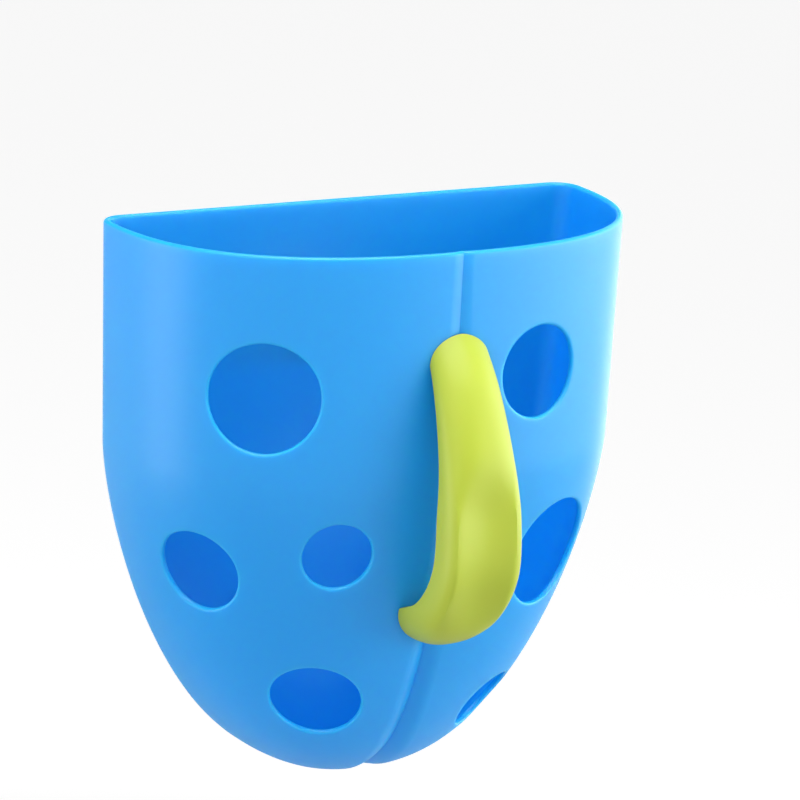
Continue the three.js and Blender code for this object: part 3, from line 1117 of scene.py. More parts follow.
    def skin_point(self, column: Points, z: Points, inset: float, grooved: bool = True) -> Points:
        """Points of the skin: the plain outside, set in, with the groove pressed in.

        Args:
            column: Columns round the skin.
            z: Heights.
            inset: Distance in from the outside.
            grooved: Whether the groove is there.

        Returns:
            The points, in the shell's own frame.
        """
        column, z = np.broadcast_arrays(np.asarray(column, float), np.asarray(z, float))
        step, turn = np.minimum(self.slope_step, z / 4), self.slope_turn
        point = self.plain_point(column, z)
        along = self.plain_point(column + turn, z) - self.plain_point(column - turn, z)
        up = self.plain_point(column, z + step) - self.plain_point(column, z - step)
        inward = np.cross(up, along)
        inward /= np.linalg.norm(inward, axis=-1, keepdims=True)
        result = point + inset * inward
        if grooved:
            press = self.tapered(self.groove_bottom_depth, self.groove_top_depth, z)
            across = np.abs(point[..., 0]) / (self.groove_half_width_at(z) + max(0.0, inset))
            is_pressed = (np.abs(self.wrapped(column)) < 1) & (across < 1)
            press = np.where(is_pressed, press * (1 - np.sin(QUARTER * np.clip(across, 0, 1))), 0)
            slope = (self.depth_at(z + step) - self.depth_at(z - step)) / (2 * step)
            aim = np.stack([0 * slope, 1 + 0 * slope, slope], -1)
            aim /= np.linalg.norm(aim, axis=-1, keepdims=True)
            result = result + press[..., None] * aim
        return result

    def outward(self, column: float, z: float) -> Points:
        """Direction straight out of the skin, without the groove."""
        out = self.skin_point(column, z, 0.0, False) - self.skin_point(column, z, self.probe, False)
        return out / np.linalg.norm(out)

    # The grid

    def columns(self) -> Points:
        """Lays out the grid's columns.

        Returns:
            The columns, once round from the middle of the front.
        """
        stops = (0, self.groove_column, 1, self.corner_column, 2)
        counts = (self.groove_columns, self.front_columns, self.corner_columns, self.back_columns)
        half = np.concatenate([np.linspace(start, end, count, endpoint=False)
                               for start, end, count in zip(stops, stops[1:], counts)])
        return np.concatenate([half, [2.0], -half[:0:-1]])

    def rows(self, top: float) -> Points:
        """Lays out the grid's rows.

        Args:
            top: Height of the highest.

        Returns:
            Their heights, close together near the bottom.
        """
        spread = (top / self.lowest_row) ** (1 / self.row_power) - 1
        share = np.linspace(0, 1, self.row_count)
        return self.lowest_row * (1 + spread * share) ** self.row_power

    def hole_frame(self, hole: RoundHole) -> HoleFrame:
        """Finds an opening's centre, axis and directions on the outside.

        Args:
            hole: The opening.

        Returns:
            Its frame.
        """
        x, z = hole.across_share * self.width / 2, hole.up_share * self.height
        low, high = 0.0, 1.0
        for _ in range(self.search_steps):
            column = (low + high) / 2
            found = self.plain_point(np.array(column), np.array(z))[0]
            low, high = (column, high) if found < abs(x) else (low, column)
        column = math.copysign((low + high) / 2, x)
        centre, axis = self.skin_point(column, z, 0.0, False), self.outward(column, z)
        right = np.cross([0, 0, 1], axis)
        right /= np.linalg.norm(right)
        up = np.cross(axis, right)
        turn = math.radians(hole.oval_degrees)
        along = (math.cos(turn) * right + math.sin(turn) * up) / hole.oval
        athwart = (math.cos(turn) * up - math.sin(turn) * right) * hole.oval
        return HoleFrame(centre, axis, along, athwart, hole.diameter / 2, column, z)

    def hole_ring(self, hole: HoleFrame, radius: float, inset: float) -> Points:
        """Ring of points on the skin at one distance from an opening's axis.

        Args:
            hole: The opening.
            radius: Distance from its axis.
            inset: Distance in from the outside.

        Returns:
            The ring, found by Newton's steps from the centre outwards.
        """
        angles = np.linspace(0, TURN, self.hole_steps, endpoint=False)
        target = np.stack([np.cos(angles), np.sin(angles)], -1)
        column = np.full(self.hole_steps, hole.column)
        z = np.full(self.hole_steps, hole.height)

        def across(columns: Points, heights: Points) -> Points:
            """Places of the skin's points across the opening."""
            return hole.local(self.skin_point(columns, heights, inset, False))[:, :2]

        for share in self.hole_approach:
            here = across(column, z)
            by_column = (across(column + self.hole_turn, z) - here) / self.hole_turn
            by_height = (across(column, z + self.hole_step) - here) / self.hole_step
            miss = target * radius * share - here
            scale = by_column[:, 0] * by_height[:, 1] - by_column[:, 1] * by_height[:, 0]
            column = column + (miss[:, 0] * by_height[:, 1] - miss[:, 1] * by_height[:, 0]) / scale
            z = z + (by_column[:, 0] * miss[:, 1] - by_column[:, 1] * miss[:, 0]) / scale
        return self.skin_point(column, z, inset, False)

    def add_points(self, points: Points) -> int:
        """Adds points to the mesh.

        Args:
            points: The points.

        Returns:
            The first one's index.
        """
        first = sum(len(p) for p in self.points)
        self.points.append(points.reshape(-1, 3))
        return first

    def add_opening(self, hole: HoleFrame) -> tuple[int, int, Points, Points]:
        """Adds an opening's rounded edges and its tunnel.

        Args:
            hole: The opening.

        Returns:
            The first index and the points of the outermost ring on the outside, and on the inside.
        """
        rounding = self.hole_rounding
        border = hole.radius + rounding
        path = [(border + self.hole_border, 0.0), (border + self.hole_flat, 0.0), (border, 0.0)]
        arc = [step * QUARTER / self.hole_arc_steps for step in range(1, self.hole_arc_steps + 1)]
        path += [(border - rounding * math.sin(a), rounding * (1 - math.cos(a))) for a in arc]
        path += [(ring, self.wall - inset) for ring, inset in reversed(path)]
        rings = [self.hole_ring(hole, ring, inset) for ring, inset in path]
        first = self.add_points(np.concatenate(rings))
        self.faces += ring_faces(first, len(rings), self.hole_steps)
        last = first + (len(rings) - 1) * self.hole_steps
        return first, last, rings[0], rings[-1]

    def add_skin(self, rows: Points, inset: float, borders: list[tuple[HoleFrame, int, Points]]) -> int:
        """Adds one side of the shell as a grid that leaves out the openings.

        Args:
            rows: Heights of the rows.
            inset: Distance in from the outside.
            borders: Each opening with its outermost ring's first index and points.

        Returns:
            The index of the grid's first point.
        """
        columns = self.columns()
        size = len(columns)
        grid = self.skin_point(columns[None, :], rows[:, None], inset)
        flat = grid.reshape(-1, 3)
        first = self.add_points(flat)
        removed: set[tuple[int, int]] = set()
        for hole, start, ring in borders:
            local = hole.local(flat)
            reach = hole.radius + self.hole_rounding + self.hole_border + self.hole_clear
            is_across = np.hypot(local[:, 0], local[:, 1]) < reach
            near = is_across & (np.abs(local[:, 2]) < hole.radius + self.hole_reach)
            near = near.reshape(len(rows), size)
            any_near = near[:-1] | near[1:]
            any_near = any_near | np.roll(any_near, -1, axis=1)
            edges: set[tuple[int, int]] = set()
            for row, column in np.argwhere(any_near).tolist():
                removed.add((row, column))
                quad = self.cell(row, column, size)
                edges.update(zip(quad, quad[1:] + quad[:1]))
            follow = {a: b for a, b in sorted(edges) if (b, a) not in edges}
            loop = [next(iter(follow))]
            while follow[loop[-1]] != loop[0]:
                loop.append(follow[loop[-1]])
            outline = [Vector(local[i][:2]) for i in loop]
            hollow = [Vector(p[:2]) for p in hole.local(ring)]
            names = [first + i for i in loop] + [start + i for i in range(self.hole_steps)]
            self.faces += filled_between(outline, hollow, names)
        for row in range(len(rows) - 1):
            for column in range(size):
                if (row, column) not in removed:
                    self.faces.append([first + i for i in self.cell(row, column, size)])
        self.add_cap(grid[0], first)
        return first

    @staticmethod
    def cell(row: int, column: int, size: int) -> tuple[int, int, int, int]:
        """Corners of a grid cell."""
        after = (column + 1) % size
        return row * size + column, row * size + after, (row + 1) * size + after, (row + 1) * size + column

    def add_cap(self, ring: Points, first: int) -> None:
        """Closes the bottom under the first row, with the groove running out in it.

        Args:
            ring: The first row's points.
            first: The index of its first point.
        """
        size = len(ring)
        low = ring[:, 2].min()
        middle = np.array([0, (ring[:, 1].min() + ring[:, 1].max()) / 2, low])
        before = first
        for step in range(1, self.cap_steps):
            share = 1 - step / self.cap_steps
            inner = middle + (ring - middle) * [share, share, share ** self.cap_power]
            start = self.add_points(inner)
            self.faces += band_faces(before, start, size)
            before = start
        pole = self.add_points(middle[None, :])
        for column in range(size):
            self.faces.append((before + column, pole, before + (column + 1) % size))

    def wall_mesh(self) -> bpy.types.Object:
        """Builds the moulded wall: both skins, the openings' edges, the rim and the bottom.

        Returns:
            The closed wall, in its place.
        """
        top = self.height - self.wall / 2
        rows = self.rows(top)
        columns = self.columns()
        outer_borders, inner_borders = [], []
        for hole in self.holes:
            at = self.hole_frame(hole)
            outer, inner, outer_ring, inner_ring = self.add_opening(at)
            outer_borders.append((at, outer, outer_ring))
            inner_borders.append((at, inner, inner_ring))
        outside = self.add_skin(rows, 0.0, outer_borders)
        inside = self.add_skin(rows, self.wall, inner_borders)
        last_row = (len(rows) - 1) * len(columns)
        outer_ring = self.skin_point(columns, top, 0.0)
        inner_ring = self.skin_point(columns, top, self.wall)
        before = outside + last_row
        for step in range(1, self.rim_steps + 1):
            angle = math.pi * step / self.rim_steps
            if step < self.rim_steps:
                ring = (outer_ring + inner_ring) / 2 + (outer_ring - inner_ring) / 2 * math.cos(angle)
                ring[:, 2] += self.wall / 2 * math.sin(angle)
                start = self.add_points(ring)
            else:
                start = inside + last_row
            self.faces += band_faces(before, start, len(columns))
            before = start
        placed = np.concatenate(self.points) + self.place
        return new_object("wall_blank", outward_mesh("wall_blank", placed, self.faces))

    # What the wall carries

    def fittings(self, screws: "Screws") -> bpy.types.Object:
        """Builds what is moulded on the wall: the pocket, the bumpers and the screw pads.

        Args:
            screws: The screws, for their pads.

        Returns:
            One object of separate closed solids.
        """
        half, root = self.pocket_width / 2, self.back_face - self.wall / 2
        outline = rounded_outline((-half, self.pocket_low), (half, self.pocket_high),
                                  (0, 0, self.pocket_corner, self.pocket_corner))
        pocket = prism("pocket", outline, self.pocket_back, root)
        inside, seat = half - self.pocket_wall, self.pocket_high - self.pocket_roof
        outline = rounded_outline((-inside, self.pocket_low - self.pocket_cut), (inside, seat))
        slot = prism("slot", outline, self.pocket_back - self.pocket_wall, self.back_face)
        boolean(pocket, slot, Solver.CUT)
        length = -self.back_face - self.bumper_wall_gap
        radius, bore = self.bumper_radius, self.bumper_radius - self.bumper_wall
        bumper = revolved("bumper", rounded_profile([
            (0, -self.wall / 2, 0), (radius, -self.wall / 2, 0),
            (radius, length, self.bumper_edge), (bore, length, self.bumper_edge),
            (bore, self.bumper_floor, self.bumper_fillet), (0, self.bumper_floor, 0),
        ]), self.bumper_steps)
        places = [Vector((side * self.bumper_spacing / 2, self.back_face, self.place[2] + self.bumper_height))
                  for side in (-1, 1)]
        return joined("fittings", [
            Softening().apply("pocket", pocket),
            repeated("bumpers", bumper, places, [Vector((0, 1, 0))] * len(places), self.finish),
            *screws.pads(),
        ])

    def drains(self) -> bpy.types.Object:
        """Builds the cutters of the small holes in the bottom of each lobe.

        Returns:
            One object of upright pins.
        """
        radius, reach = self.drain_radius, self.drain_reach
        pin = revolved("drain", [(0, -reach), (radius, -reach), (radius, reach), (0, reach)],
                       self.drain_steps)
        places = [Vector((side * across * self.width / 2, -inward * self.depth, 0)) + Vector(self.place)
                  for side in (-1, 1) for across, inward in self.drain_shares]
        return repeated("drains", pin, places, [Vector((0, 0, 1))] * len(places), self.finish)

    def build(self, screws: "Screws") -> bpy.types.Object:
        """Builds the finished shell.

        Args:
            screws: The screws that hold the handle.

        Returns:
            The shell's object.
        """
        wall = self.wall_mesh()
        fittings = self.fittings(screws)
        cutters = joined("cutters", [self.drains(), *screws.bores()])
        made = fitted_tree().apply("shell_wall", wall, Add=fittings, Cut=cutters, Finish=self.finish)
        bpy.data.objects.remove(fittings)
        bpy.data.objects.remove(cutters)
        return made

    def seat_body(self, gap: float) -> bpy.types.Object:
        """Plain outside of the shell, grown by a gap, that the handle's ends are cut to.

        Args:
            gap: How much it is grown.

        Returns:
            The closed body.
        """
        rows = self.rows(self.height)[self.seat_first_row:]
        columns = self.columns()
        size = len(columns)
        grid = self.skin_point(columns[None, :], rows[:, None], -gap, False) + self.place
        last = (len(rows) - 1) * size
        faces = [*ring_faces(0, len(rows), size), tuple(range(size)), tuple(range(last, last + size))]
        return new_object("seat_body", outward_mesh("seat_body", grid.reshape(-1, 3), faces))


# Handle


@dataclass
class Screws:
    """The two pan-head screws, driven from inside the scoop into the handle's ends."""

    scoop: Scoop
    finish: bpy.types.Material
    heights: Pair = (219 * MM, 94 * MM)
    radius: float = 2 * MM
    head_radius: float = 4.2 * MM
    head_height: float = 2.4 * MM
    head_flat_share: float = 0.6
    head_roundings: Pair = (1.2 * MM, 1 * MM)
    pad_depths: Pair = (6.794 * MM, 8.053 * MM)
    reach: float = 6 * MM
    tip: float = 1.2 * MM
    edge: float = 0.2 * MM
    gap: float = 0.3 * MM
    pad_radius: float = 7.5 * MM
    pad_edge: float = 0.8 * MM
    bore_overrun: float = 6 * MM
    recess_width: float = 1.1 * MM
    recess_reach: float = 2.3 * MM
    recess_depth: float = 1.1 * MM
    recess_overrun: float = 1 * MM
    thread_pitch: float = 1.25 * MM
    thread_depth: float = 0.28 * MM
    thread_edge: float = 0.1 * MM
    rod_steps: int = 48
    screw_steps: int = 40

    def seats(self) -> list[tuple[Vector, Vector, float]]:
        """Where each screw stands.

        Returns:
            For each, the point on its pad's inner face, the way out of the front, and the depth below it.
        """
        found = []
        for height, below in zip(self.heights, self.pad_depths):
            out = self.scoop.outward(0.0, height)
            face = self.scoop.skin_point(0.0, height, 0.0, False) + self.scoop.place
            found.append((Vector(face - out * below), Vector(out), below))
        return found

    def rods(self, name: str, radius: float, start: float, beyond: float,
             rounding: float = 0.0) -> list[bpy.types.Object]:
        """Round solids along the screws' axes.

        Args:
            name: Their name.
            radius: Their radius.
            start: Where they start, measured from the pads' inner faces.
            beyond: How far they end past the outside of the shell.
            rounding: Rounding of the inner edge.

        Returns:
            The objects.
        """
        made = []
        for point, out, below in self.seats():
            end = below + beyond
            rod = revolved(name, rounded_profile(
                [(0, start, 0), (radius, start, rounding), (radius, end, 0), (0, end, 0)]), self.rod_steps)
            turn = Vector((0, 0, 1)).rotation_difference(out).to_matrix().to_4x4()
            rod.data.transform(Matrix.Translation(point) @ turn)
            made.append(rod)
        return made

    def pads(self) -> list[bpy.types.Object]:
        """Round pads inside the wall, under the heads."""
        return self.rods("pad", self.pad_radius, 0.0, -self.scoop.wall / 2, self.pad_edge)

    def bores(self) -> list[bpy.types.Object]:
        """Cutters of the holes that the shanks pass."""
        return self.rods("bore", self.radius + self.gap, -self.bore_overrun, self.bore_overrun)

    def build(self) -> bpy.types.Object:
        """Builds both screws from one, with a cross recess and a rolled thread.

        Returns:
            The screws' object.
        """
        places, directions, depths = zip(*self.seats())
        end = depths[0] + self.reach
        seat, face = -self.gap, -self.gap - self.head_height
        crown, shoulder = self.head_roundings
        corners = [(0, face, 0), (self.head_radius * self.head_flat_share, face, crown),
                   (self.head_radius, seat - self.head_height / 2, shoulder),
                   (self.head_radius, seat, self.edge), (self.radius, seat, self.edge)]
        for turn in range(int((end - self.tip) / self.thread_pitch)):
            at = (turn + 0.5) * self.thread_pitch
            corners.append((self.radius, at - self.thread_pitch / 4, self.thread_edge))
            corners.append((self.radius - self.thread_depth, at + self.thread_pitch / 4, self.thread_edge))
        corners += [(self.radius, end - self.tip, self.edge), (self.radius / 3, end, self.edge), (0, end, 0)]
        screw = revolved("screw", rounded_profile(corners, steps=3), self.screw_steps)
        arm = (self.recess_reach, self.recess_width / 2)
        for along, across in (arm, arm[::-1]):
            outline = rounded_outline((-along, -across), (along, across))
            tool = prism("recess", outline, face - self.recess_overrun, face + self.recess_depth)
            tool.data.transform(UPRIGHT)
            tool.data.flip_normals()
            boolean(screw, tool, Solver.CUT)
        return repeated("handle_screws", screw, places, directions, self.finish)


@dataclass
class Handle:
    """The trunk-shaped handle: its path, its section's rule, its grip and its liner."""

    scoop: Scoop
    screws: Screws
    finish: bpy.types.Material
    top_height: float = 228 * MM
    span: float = 127 * MM
    finger_gap: float = 21.8 * MM
    down_shares: tuple[float, ...] = (0, 0.172, 0.416, 0.584, 0.785, 0.917, 0.979, 1)
    out_shares: tuple[float, ...] = (-0.36, 0.236, 0.71, 0.862, 1, 0.643, 0.039, -0.543)
    half_width: float = 20.6 * MM
    half_width_shares: tuple[float, ...] = (0.69, 0.78, 0.866, 0.927, 0.958, 0.952, 0.937, 0.925)
    depth: float = 20.7 * MM
    depth_shares: tuple[float, ...] = (0.4, 0.59, 0.77, 0.863, 0.863, 0.94, 0.93, 0.867)
    square_shares: tuple[float, ...] = (1.75, 1.97, 2.6, 3.6, 3.9, 2.7, 1.95, 1.75)
    edge: float = 1.5 * MM
    low_square: float = 5.0
    seat_gap: float = 0.3 * MM
    wall: float = 2.6 * MM
    dish_depth: float = 4.8 * MM
    dish_half_width: float = 14.5 * MM
    dish_shift: float = -1.5 * MM
    dish_power: float = 0.9
    dish_rise: Pair = (0.25, 0.44)
    dish_fall: Pair = (0.6, 0.78)
    faceting: float = 0.1 * MM
    liner_thickness: float = 2.4 * MM
    liner_span: Pair = (0.13, 0.8)
    strip_square: float = 14.0
    recess_overrun: float = 6 * MM
    ring_count: int = 150
    arc_points: int = 129
    ease_reach: int = 7
    run_reach: float = 0.01

    def path(self, at: Points) -> Points:
        """Points of the finger side's middle line, a centripetal Catmull-Rom curve.

        Args:
            at: Places from 0 at the top to 1 at the foot.

        Returns:
            The points, in the shell's own frame.
        """
        z = self.top_height - np.array(self.down_shares) * self.span
        y = -self.scoop.depth_at(z) - np.array(self.out_shares) * self.finger_gap
        knots = np.stack([0 * z, y, z], -1)
        knots = np.concatenate([[2 * knots[0] - knots[1]], knots, [2 * knots[-1] - knots[-2]]])
        place = np.clip(np.asarray(at, float), 0, 1) * (len(z) - 1)
        low = np.minimum(np.floor(place).astype(int), len(z) - 2)
        share = (place - low)[:, None]
        a, b, c, d = (knots[low + step] for step in range(4))
        ab, bc, cd = (np.sqrt(np.linalg.norm(q - p, axis=-1, keepdims=True))
                      for p, q in ((a, b), (b, c), (c, d)))
        start = ((b - a) / ab - (c - a) / (ab + bc) + (c - b) / bc) * bc
        end = ((c - b) / bc - (d - b) / (bc + cd) + (d - c) / cd) * bc
        curve = (2 * b - 2 * c + start + end) * share ** 3
        return curve + (3 * c - 3 * b - 2 * start - end) * share ** 2 + start * share + b

    def shifted(self, at: float, distance: float) -> float:
        """Place on the path a short way on.

        Args:
            at: The place to start from.
            distance: How far on, or back if it is negative.

        Returns:
            The new place.
        """
        reach = np.array([at - self.run_reach, at + self.run_reach])
        run = np.linalg.norm(np.diff(self.path(reach), axis=0))
        return at + 2 * self.run_reach * distance / run

    @staticmethod
    def fade(at: Points, span: Pair) -> Points:
        """Smooth step from 0 to 1 across a span."""
        share = np.clip((at - span[0]) / (span[1] - span[0]), 0, 1)
        return share * share * (3 - 2 * share)

    def eased(self, shares: Sequence[float], at: Points) -> Points:
        """Reads evenly spaced shares along the path, with the kinks between them rounded off.

        Args:
            shares: The shares, from the top to the foot.
            at: Where they are read.

        Returns:
            The share at each place.
        """
        values = np.interp(at, np.linspace(0, 1, len(shares)), shares)
        kernel = np.hanning(2 * self.ease_reach + 1)
        padded = np.pad(values, self.ease_reach, mode="edge")
        return np.convolve(padded, kernel / kernel.sum(), mode="valid")

    def spine(self, name: str, span: Pair, drop: float, strip: Pair | None) -> bpy.types.Object:
        """Line of points that carries the section's sizes.

        Args:
            name: The object's name.
            span: Where it starts and ends on the path.
            drop: How far the section's floor lies below the finger side.
            strip: For a flat strip, how far its sides are drawn in and its thickness.

        Returns:
            The object.
        """
        at = np.linspace(*span, self.ring_count)
        points = self.path(at) + self.scoop.place
        tangent = np.gradient(points, axis=0)
        tangent /= np.linalg.norm(tangent, axis=1, keepdims=True)
        rise = np.stack([0 * at, tangent[:, 2], -tangent[:, 1]], -1)
        points = points - drop * rise
        half = self.half_width * self.eased(self.half_width_shares, at)
        if strip is None:
            depth = self.depth * self.eased(self.depth_shares, at) - self.faceting
            square = self.eased(self.square_shares, at)
            dish = self.dish_depth * self.fade(at, self.dish_rise) * (1 - self.fade(at, self.dish_fall))
        else:
            half, depth = half - strip[0], np.full(len(at), strip[1])
            square, dish = np.full(len(at), self.strip_square), 0 * at
        ends = [0, *range(len(at)), len(at) - 1]
        full = np.ones(len(ends))
        full[[0, -1]] = 0
        mesh = bpy.data.meshes.new(name)
        mesh.from_pydata([tuple(points[i]) for i in ends], [(i, i + 1) for i in range(len(ends) - 1)], [])
        values = {"half_width": half[ends], "depth": depth[ends], "square": square[ends],
                  "dish": dish[ends], "full": full}
        for key, row in values.items():
            stored = mesh.attributes.new(key, "FLOAT", "POINT")
            stored.data.foreach_set("value", row.astype(np.float32))
        stored = mesh.attributes.new("rise", "FLOAT_VECTOR", "POINT")
        stored.data.foreach_set("vector", rise[ends].astype(np.float32).ravel())
        return new_object(name, mesh)

    def swept(self, name: str, span: Pair, drop: float = 0.0, strip: Pair | None = None) -> bpy.types.Object:
        """Sweeps the section along a part of the path and turns its faces outwards.

        Args:
            name: The object's name.
            span: Where it starts and ends on the path.
            drop: How far the section's floor lies below the finger side.
            strip: For a flat strip, how far its sides are drawn in and its thickness.

        Returns:
            The closed sweep.
        """
        spine = self.spine(f"{name}_spine", span, drop, strip)
        edge, low_square = (strip[1] / 2, self.strip_square) if strip else (self.edge, self.low_square)
        made = section_tree().apply(
            name, spine, Rings=self.ring_count + 2, Arc_Points=self.arc_points, Edge=edge,
            Low_Square=low_square, Dish_Half_Width=self.dish_half_width, Dish_Shift=self.dish_shift,
            Dish_Power=self.dish_power, Finish=self.finish)
        with edited(made.data) as work:
            turn_outwards(work)
        return made

    def build(self) -> tuple[bpy.types.Object, bpy.types.Object]:
        """Builds the grip and its liner.

        Returns:
            The grip and the liner.
        """
        grip = self.swept("grip_blank", (0, 1))
        depth = self.liner_thickness + self.seat_gap + self.recess_overrun
        recess = self.swept("liner_recess", self.liner_span, self.recess_overrun, (self.wall, depth))
        seat = self.scoop.seat_body(self.seat_gap)
        boolean(seat, recess, Solver.JOIN)
        bores = joined("grip_bores", self.screws.bores())
        for name, cutter in (("grip_part", seat), ("grip_moulding", bores)):
            grip = fitted_tree().apply(name, grip, Cut=cutter, Finish=self.finish)
            bpy.data.objects.remove(cutter)
        first, last = self.liner_span
        span = (self.shifted(first, self.seat_gap), self.shifted(last, -self.seat_gap))
        liner = self.swept("grip_liner", span, strip=(self.wall + self.seat_gap, self.liner_thickness))
        return grip, liner


# Hanging hardware


@dataclass
class Hanger:
    """What stays on the wall: the bracket with its tongue, and two suction cups."""

    plastic: bpy.types.Material
    clear: bpy.types.Material
    width: float = 142 * MM
    rise: float = 13 * MM
    drop: float = 24 * MM
    back: float = 9 * MM
    thickness: float = 3 * MM
    corner: float = 12 * MM
    neck_radius: float = 4.6 * MM
    head_radius: float = 7.4 * MM
    gap: float = 0.3 * MM
    keyhole_drop: float = 11.5 * MM
    cup_spacing: float = 104 * MM
    tongue_width: float = 50 * MM
    tongue_rise: float = 8 * MM
    tongue_corner: float = 6 * MM
    tongue_back: float = 15.4 * MM
    tongue_front: float = 18.2 * MM
    shelf: float = 5 * MM
    shelf_inset: float = 0.5 * MM
    keyhole_overrun: float = 2 * MM
    cup_radius: float = 24 * MM
    lip_width: float = 4 * MM
    lip_thickness: float = 1 * MM
    hollow: float = 2.6 * MM
    hollow_share: float = 0.78
    hollow_rounding: float = 4 * MM
    lip_edges: Pair = (0.5 * MM, 0.3 * MM)
    cup_height: float = 8.7 * MM
    shoulder_radius: float = 9 * MM
    shoulder_steps: int = 14
    neck_roundings: Pair = (1 * MM, 0.4 * MM)
    head_thickness: float = 3.4 * MM
    head_flat_share: float = 0.75
    head_roundings: tuple[float, float, float] = (0.5 * MM, 1 * MM, 1 * MM)
    cup_steps: int = 96

    def bracket(self) -> bpy.types.Object:
        """Builds the bracket: a plate with two keyholes, a shelf and an upright tongue.

        Returns:
            The bracket's object.
        """
        half, front = self.width / 2, self.back + self.thickness
        outline = rounded_outline((-half, -self.drop), (half, self.rise), (self.corner,) * 4)
        plate = prism("plate", outline, -self.back, -front)
        slot = self.neck_radius + self.gap
        deep = (-self.back + self.keyhole_overrun, -front - self.keyhole_overrun)
        for x in (-self.cup_spacing / 2, self.cup_spacing / 2):
            tools = [
                circle_outline(x, -self.keyhole_drop, self.head_radius + self.gap),
                circle_outline(x, 0, slot),
                rounded_outline((x - slot, -self.keyhole_drop), (x + slot, 0)),
            ]
            for outline in tools:
                boolean(plate, prism("keyhole", outline, *deep), Solver.CUT)
        reach = self.tongue_width / 2
        outline = rounded_outline((-reach, -self.drop), (reach, self.shelf - self.drop))
        shelf = prism("shelf", outline, -self.back - self.shelf_inset, -self.tongue_front + self.shelf_inset)
        outline = rounded_outline((-reach, -self.drop), (reach, self.tongue_rise),
                                  (0, 0, self.tongue_corner, self.tongue_corner))
        tongue = prism("tongue", outline, -self.tongue_back, -self.tongue_front)
        for part in (shelf, tongue):
            boolean(plate, part, Solver.JOIN)
        made = Softening().apply("bracket_hook", plate)
        made.data.materials.clear()
        made.data.materials.append(self.plastic)
        return made

    def cups(self) -> bpy.types.Object:
        """Builds both suction cups from one profile.

        Returns:
            The cups' object.
        """
        lip, radius = self.cup_radius - self.lip_width, self.cup_radius
        head = self.back + self.thickness + self.gap
        top = head + self.head_thickness
        flat = self.head_radius * self.head_flat_share
        inner_edge, outer_edge = self.lip_edges
        neck_foot, neck_top = self.neck_roundings
        head_low, head_side, head_top = self.head_roundings
        shoulder = [(radius - (radius - self.shoulder_radius) * math.sin(a),
                     self.cup_height - (self.cup_height - self.lip_thickness) * math.cos(a), 0.0)
                    for a in np.linspace(0, QUARTER, self.shoulder_steps)]
        corners = [
            (0, self.hollow, 0), (lip / 2, self.hollow * self.hollow_share, self.hollow_rounding),
            (lip, 0, inner_edge), (radius, 0, outer_edge), *shoulder,
            (self.neck_radius, self.cup_height, neck_foot), (self.neck_radius, head, neck_top),
            (self.head_radius, head, head_low), (self.head_radius, (head + top) / 2, head_side),
            (flat, top, head_top), (0, top, 0),
        ]
        cup = revolved("cup", rounded_profile(corners), self.cup_steps)
        places = [Vector((side * self.cup_spacing / 2, 0, 0)) for side in (-1, 1)]
        return repeated("suction_cups", cup, places, [Vector((0, -1, 0))] * len(places), self.clear)


# Studio


@dataclass(frozen=True)
class Lamp:
    """A soft oblong light that looks at the object, and that the camera doesn't see."""

    name: str
    place: tuple[float, float, float]
    size: Pair
    power: float


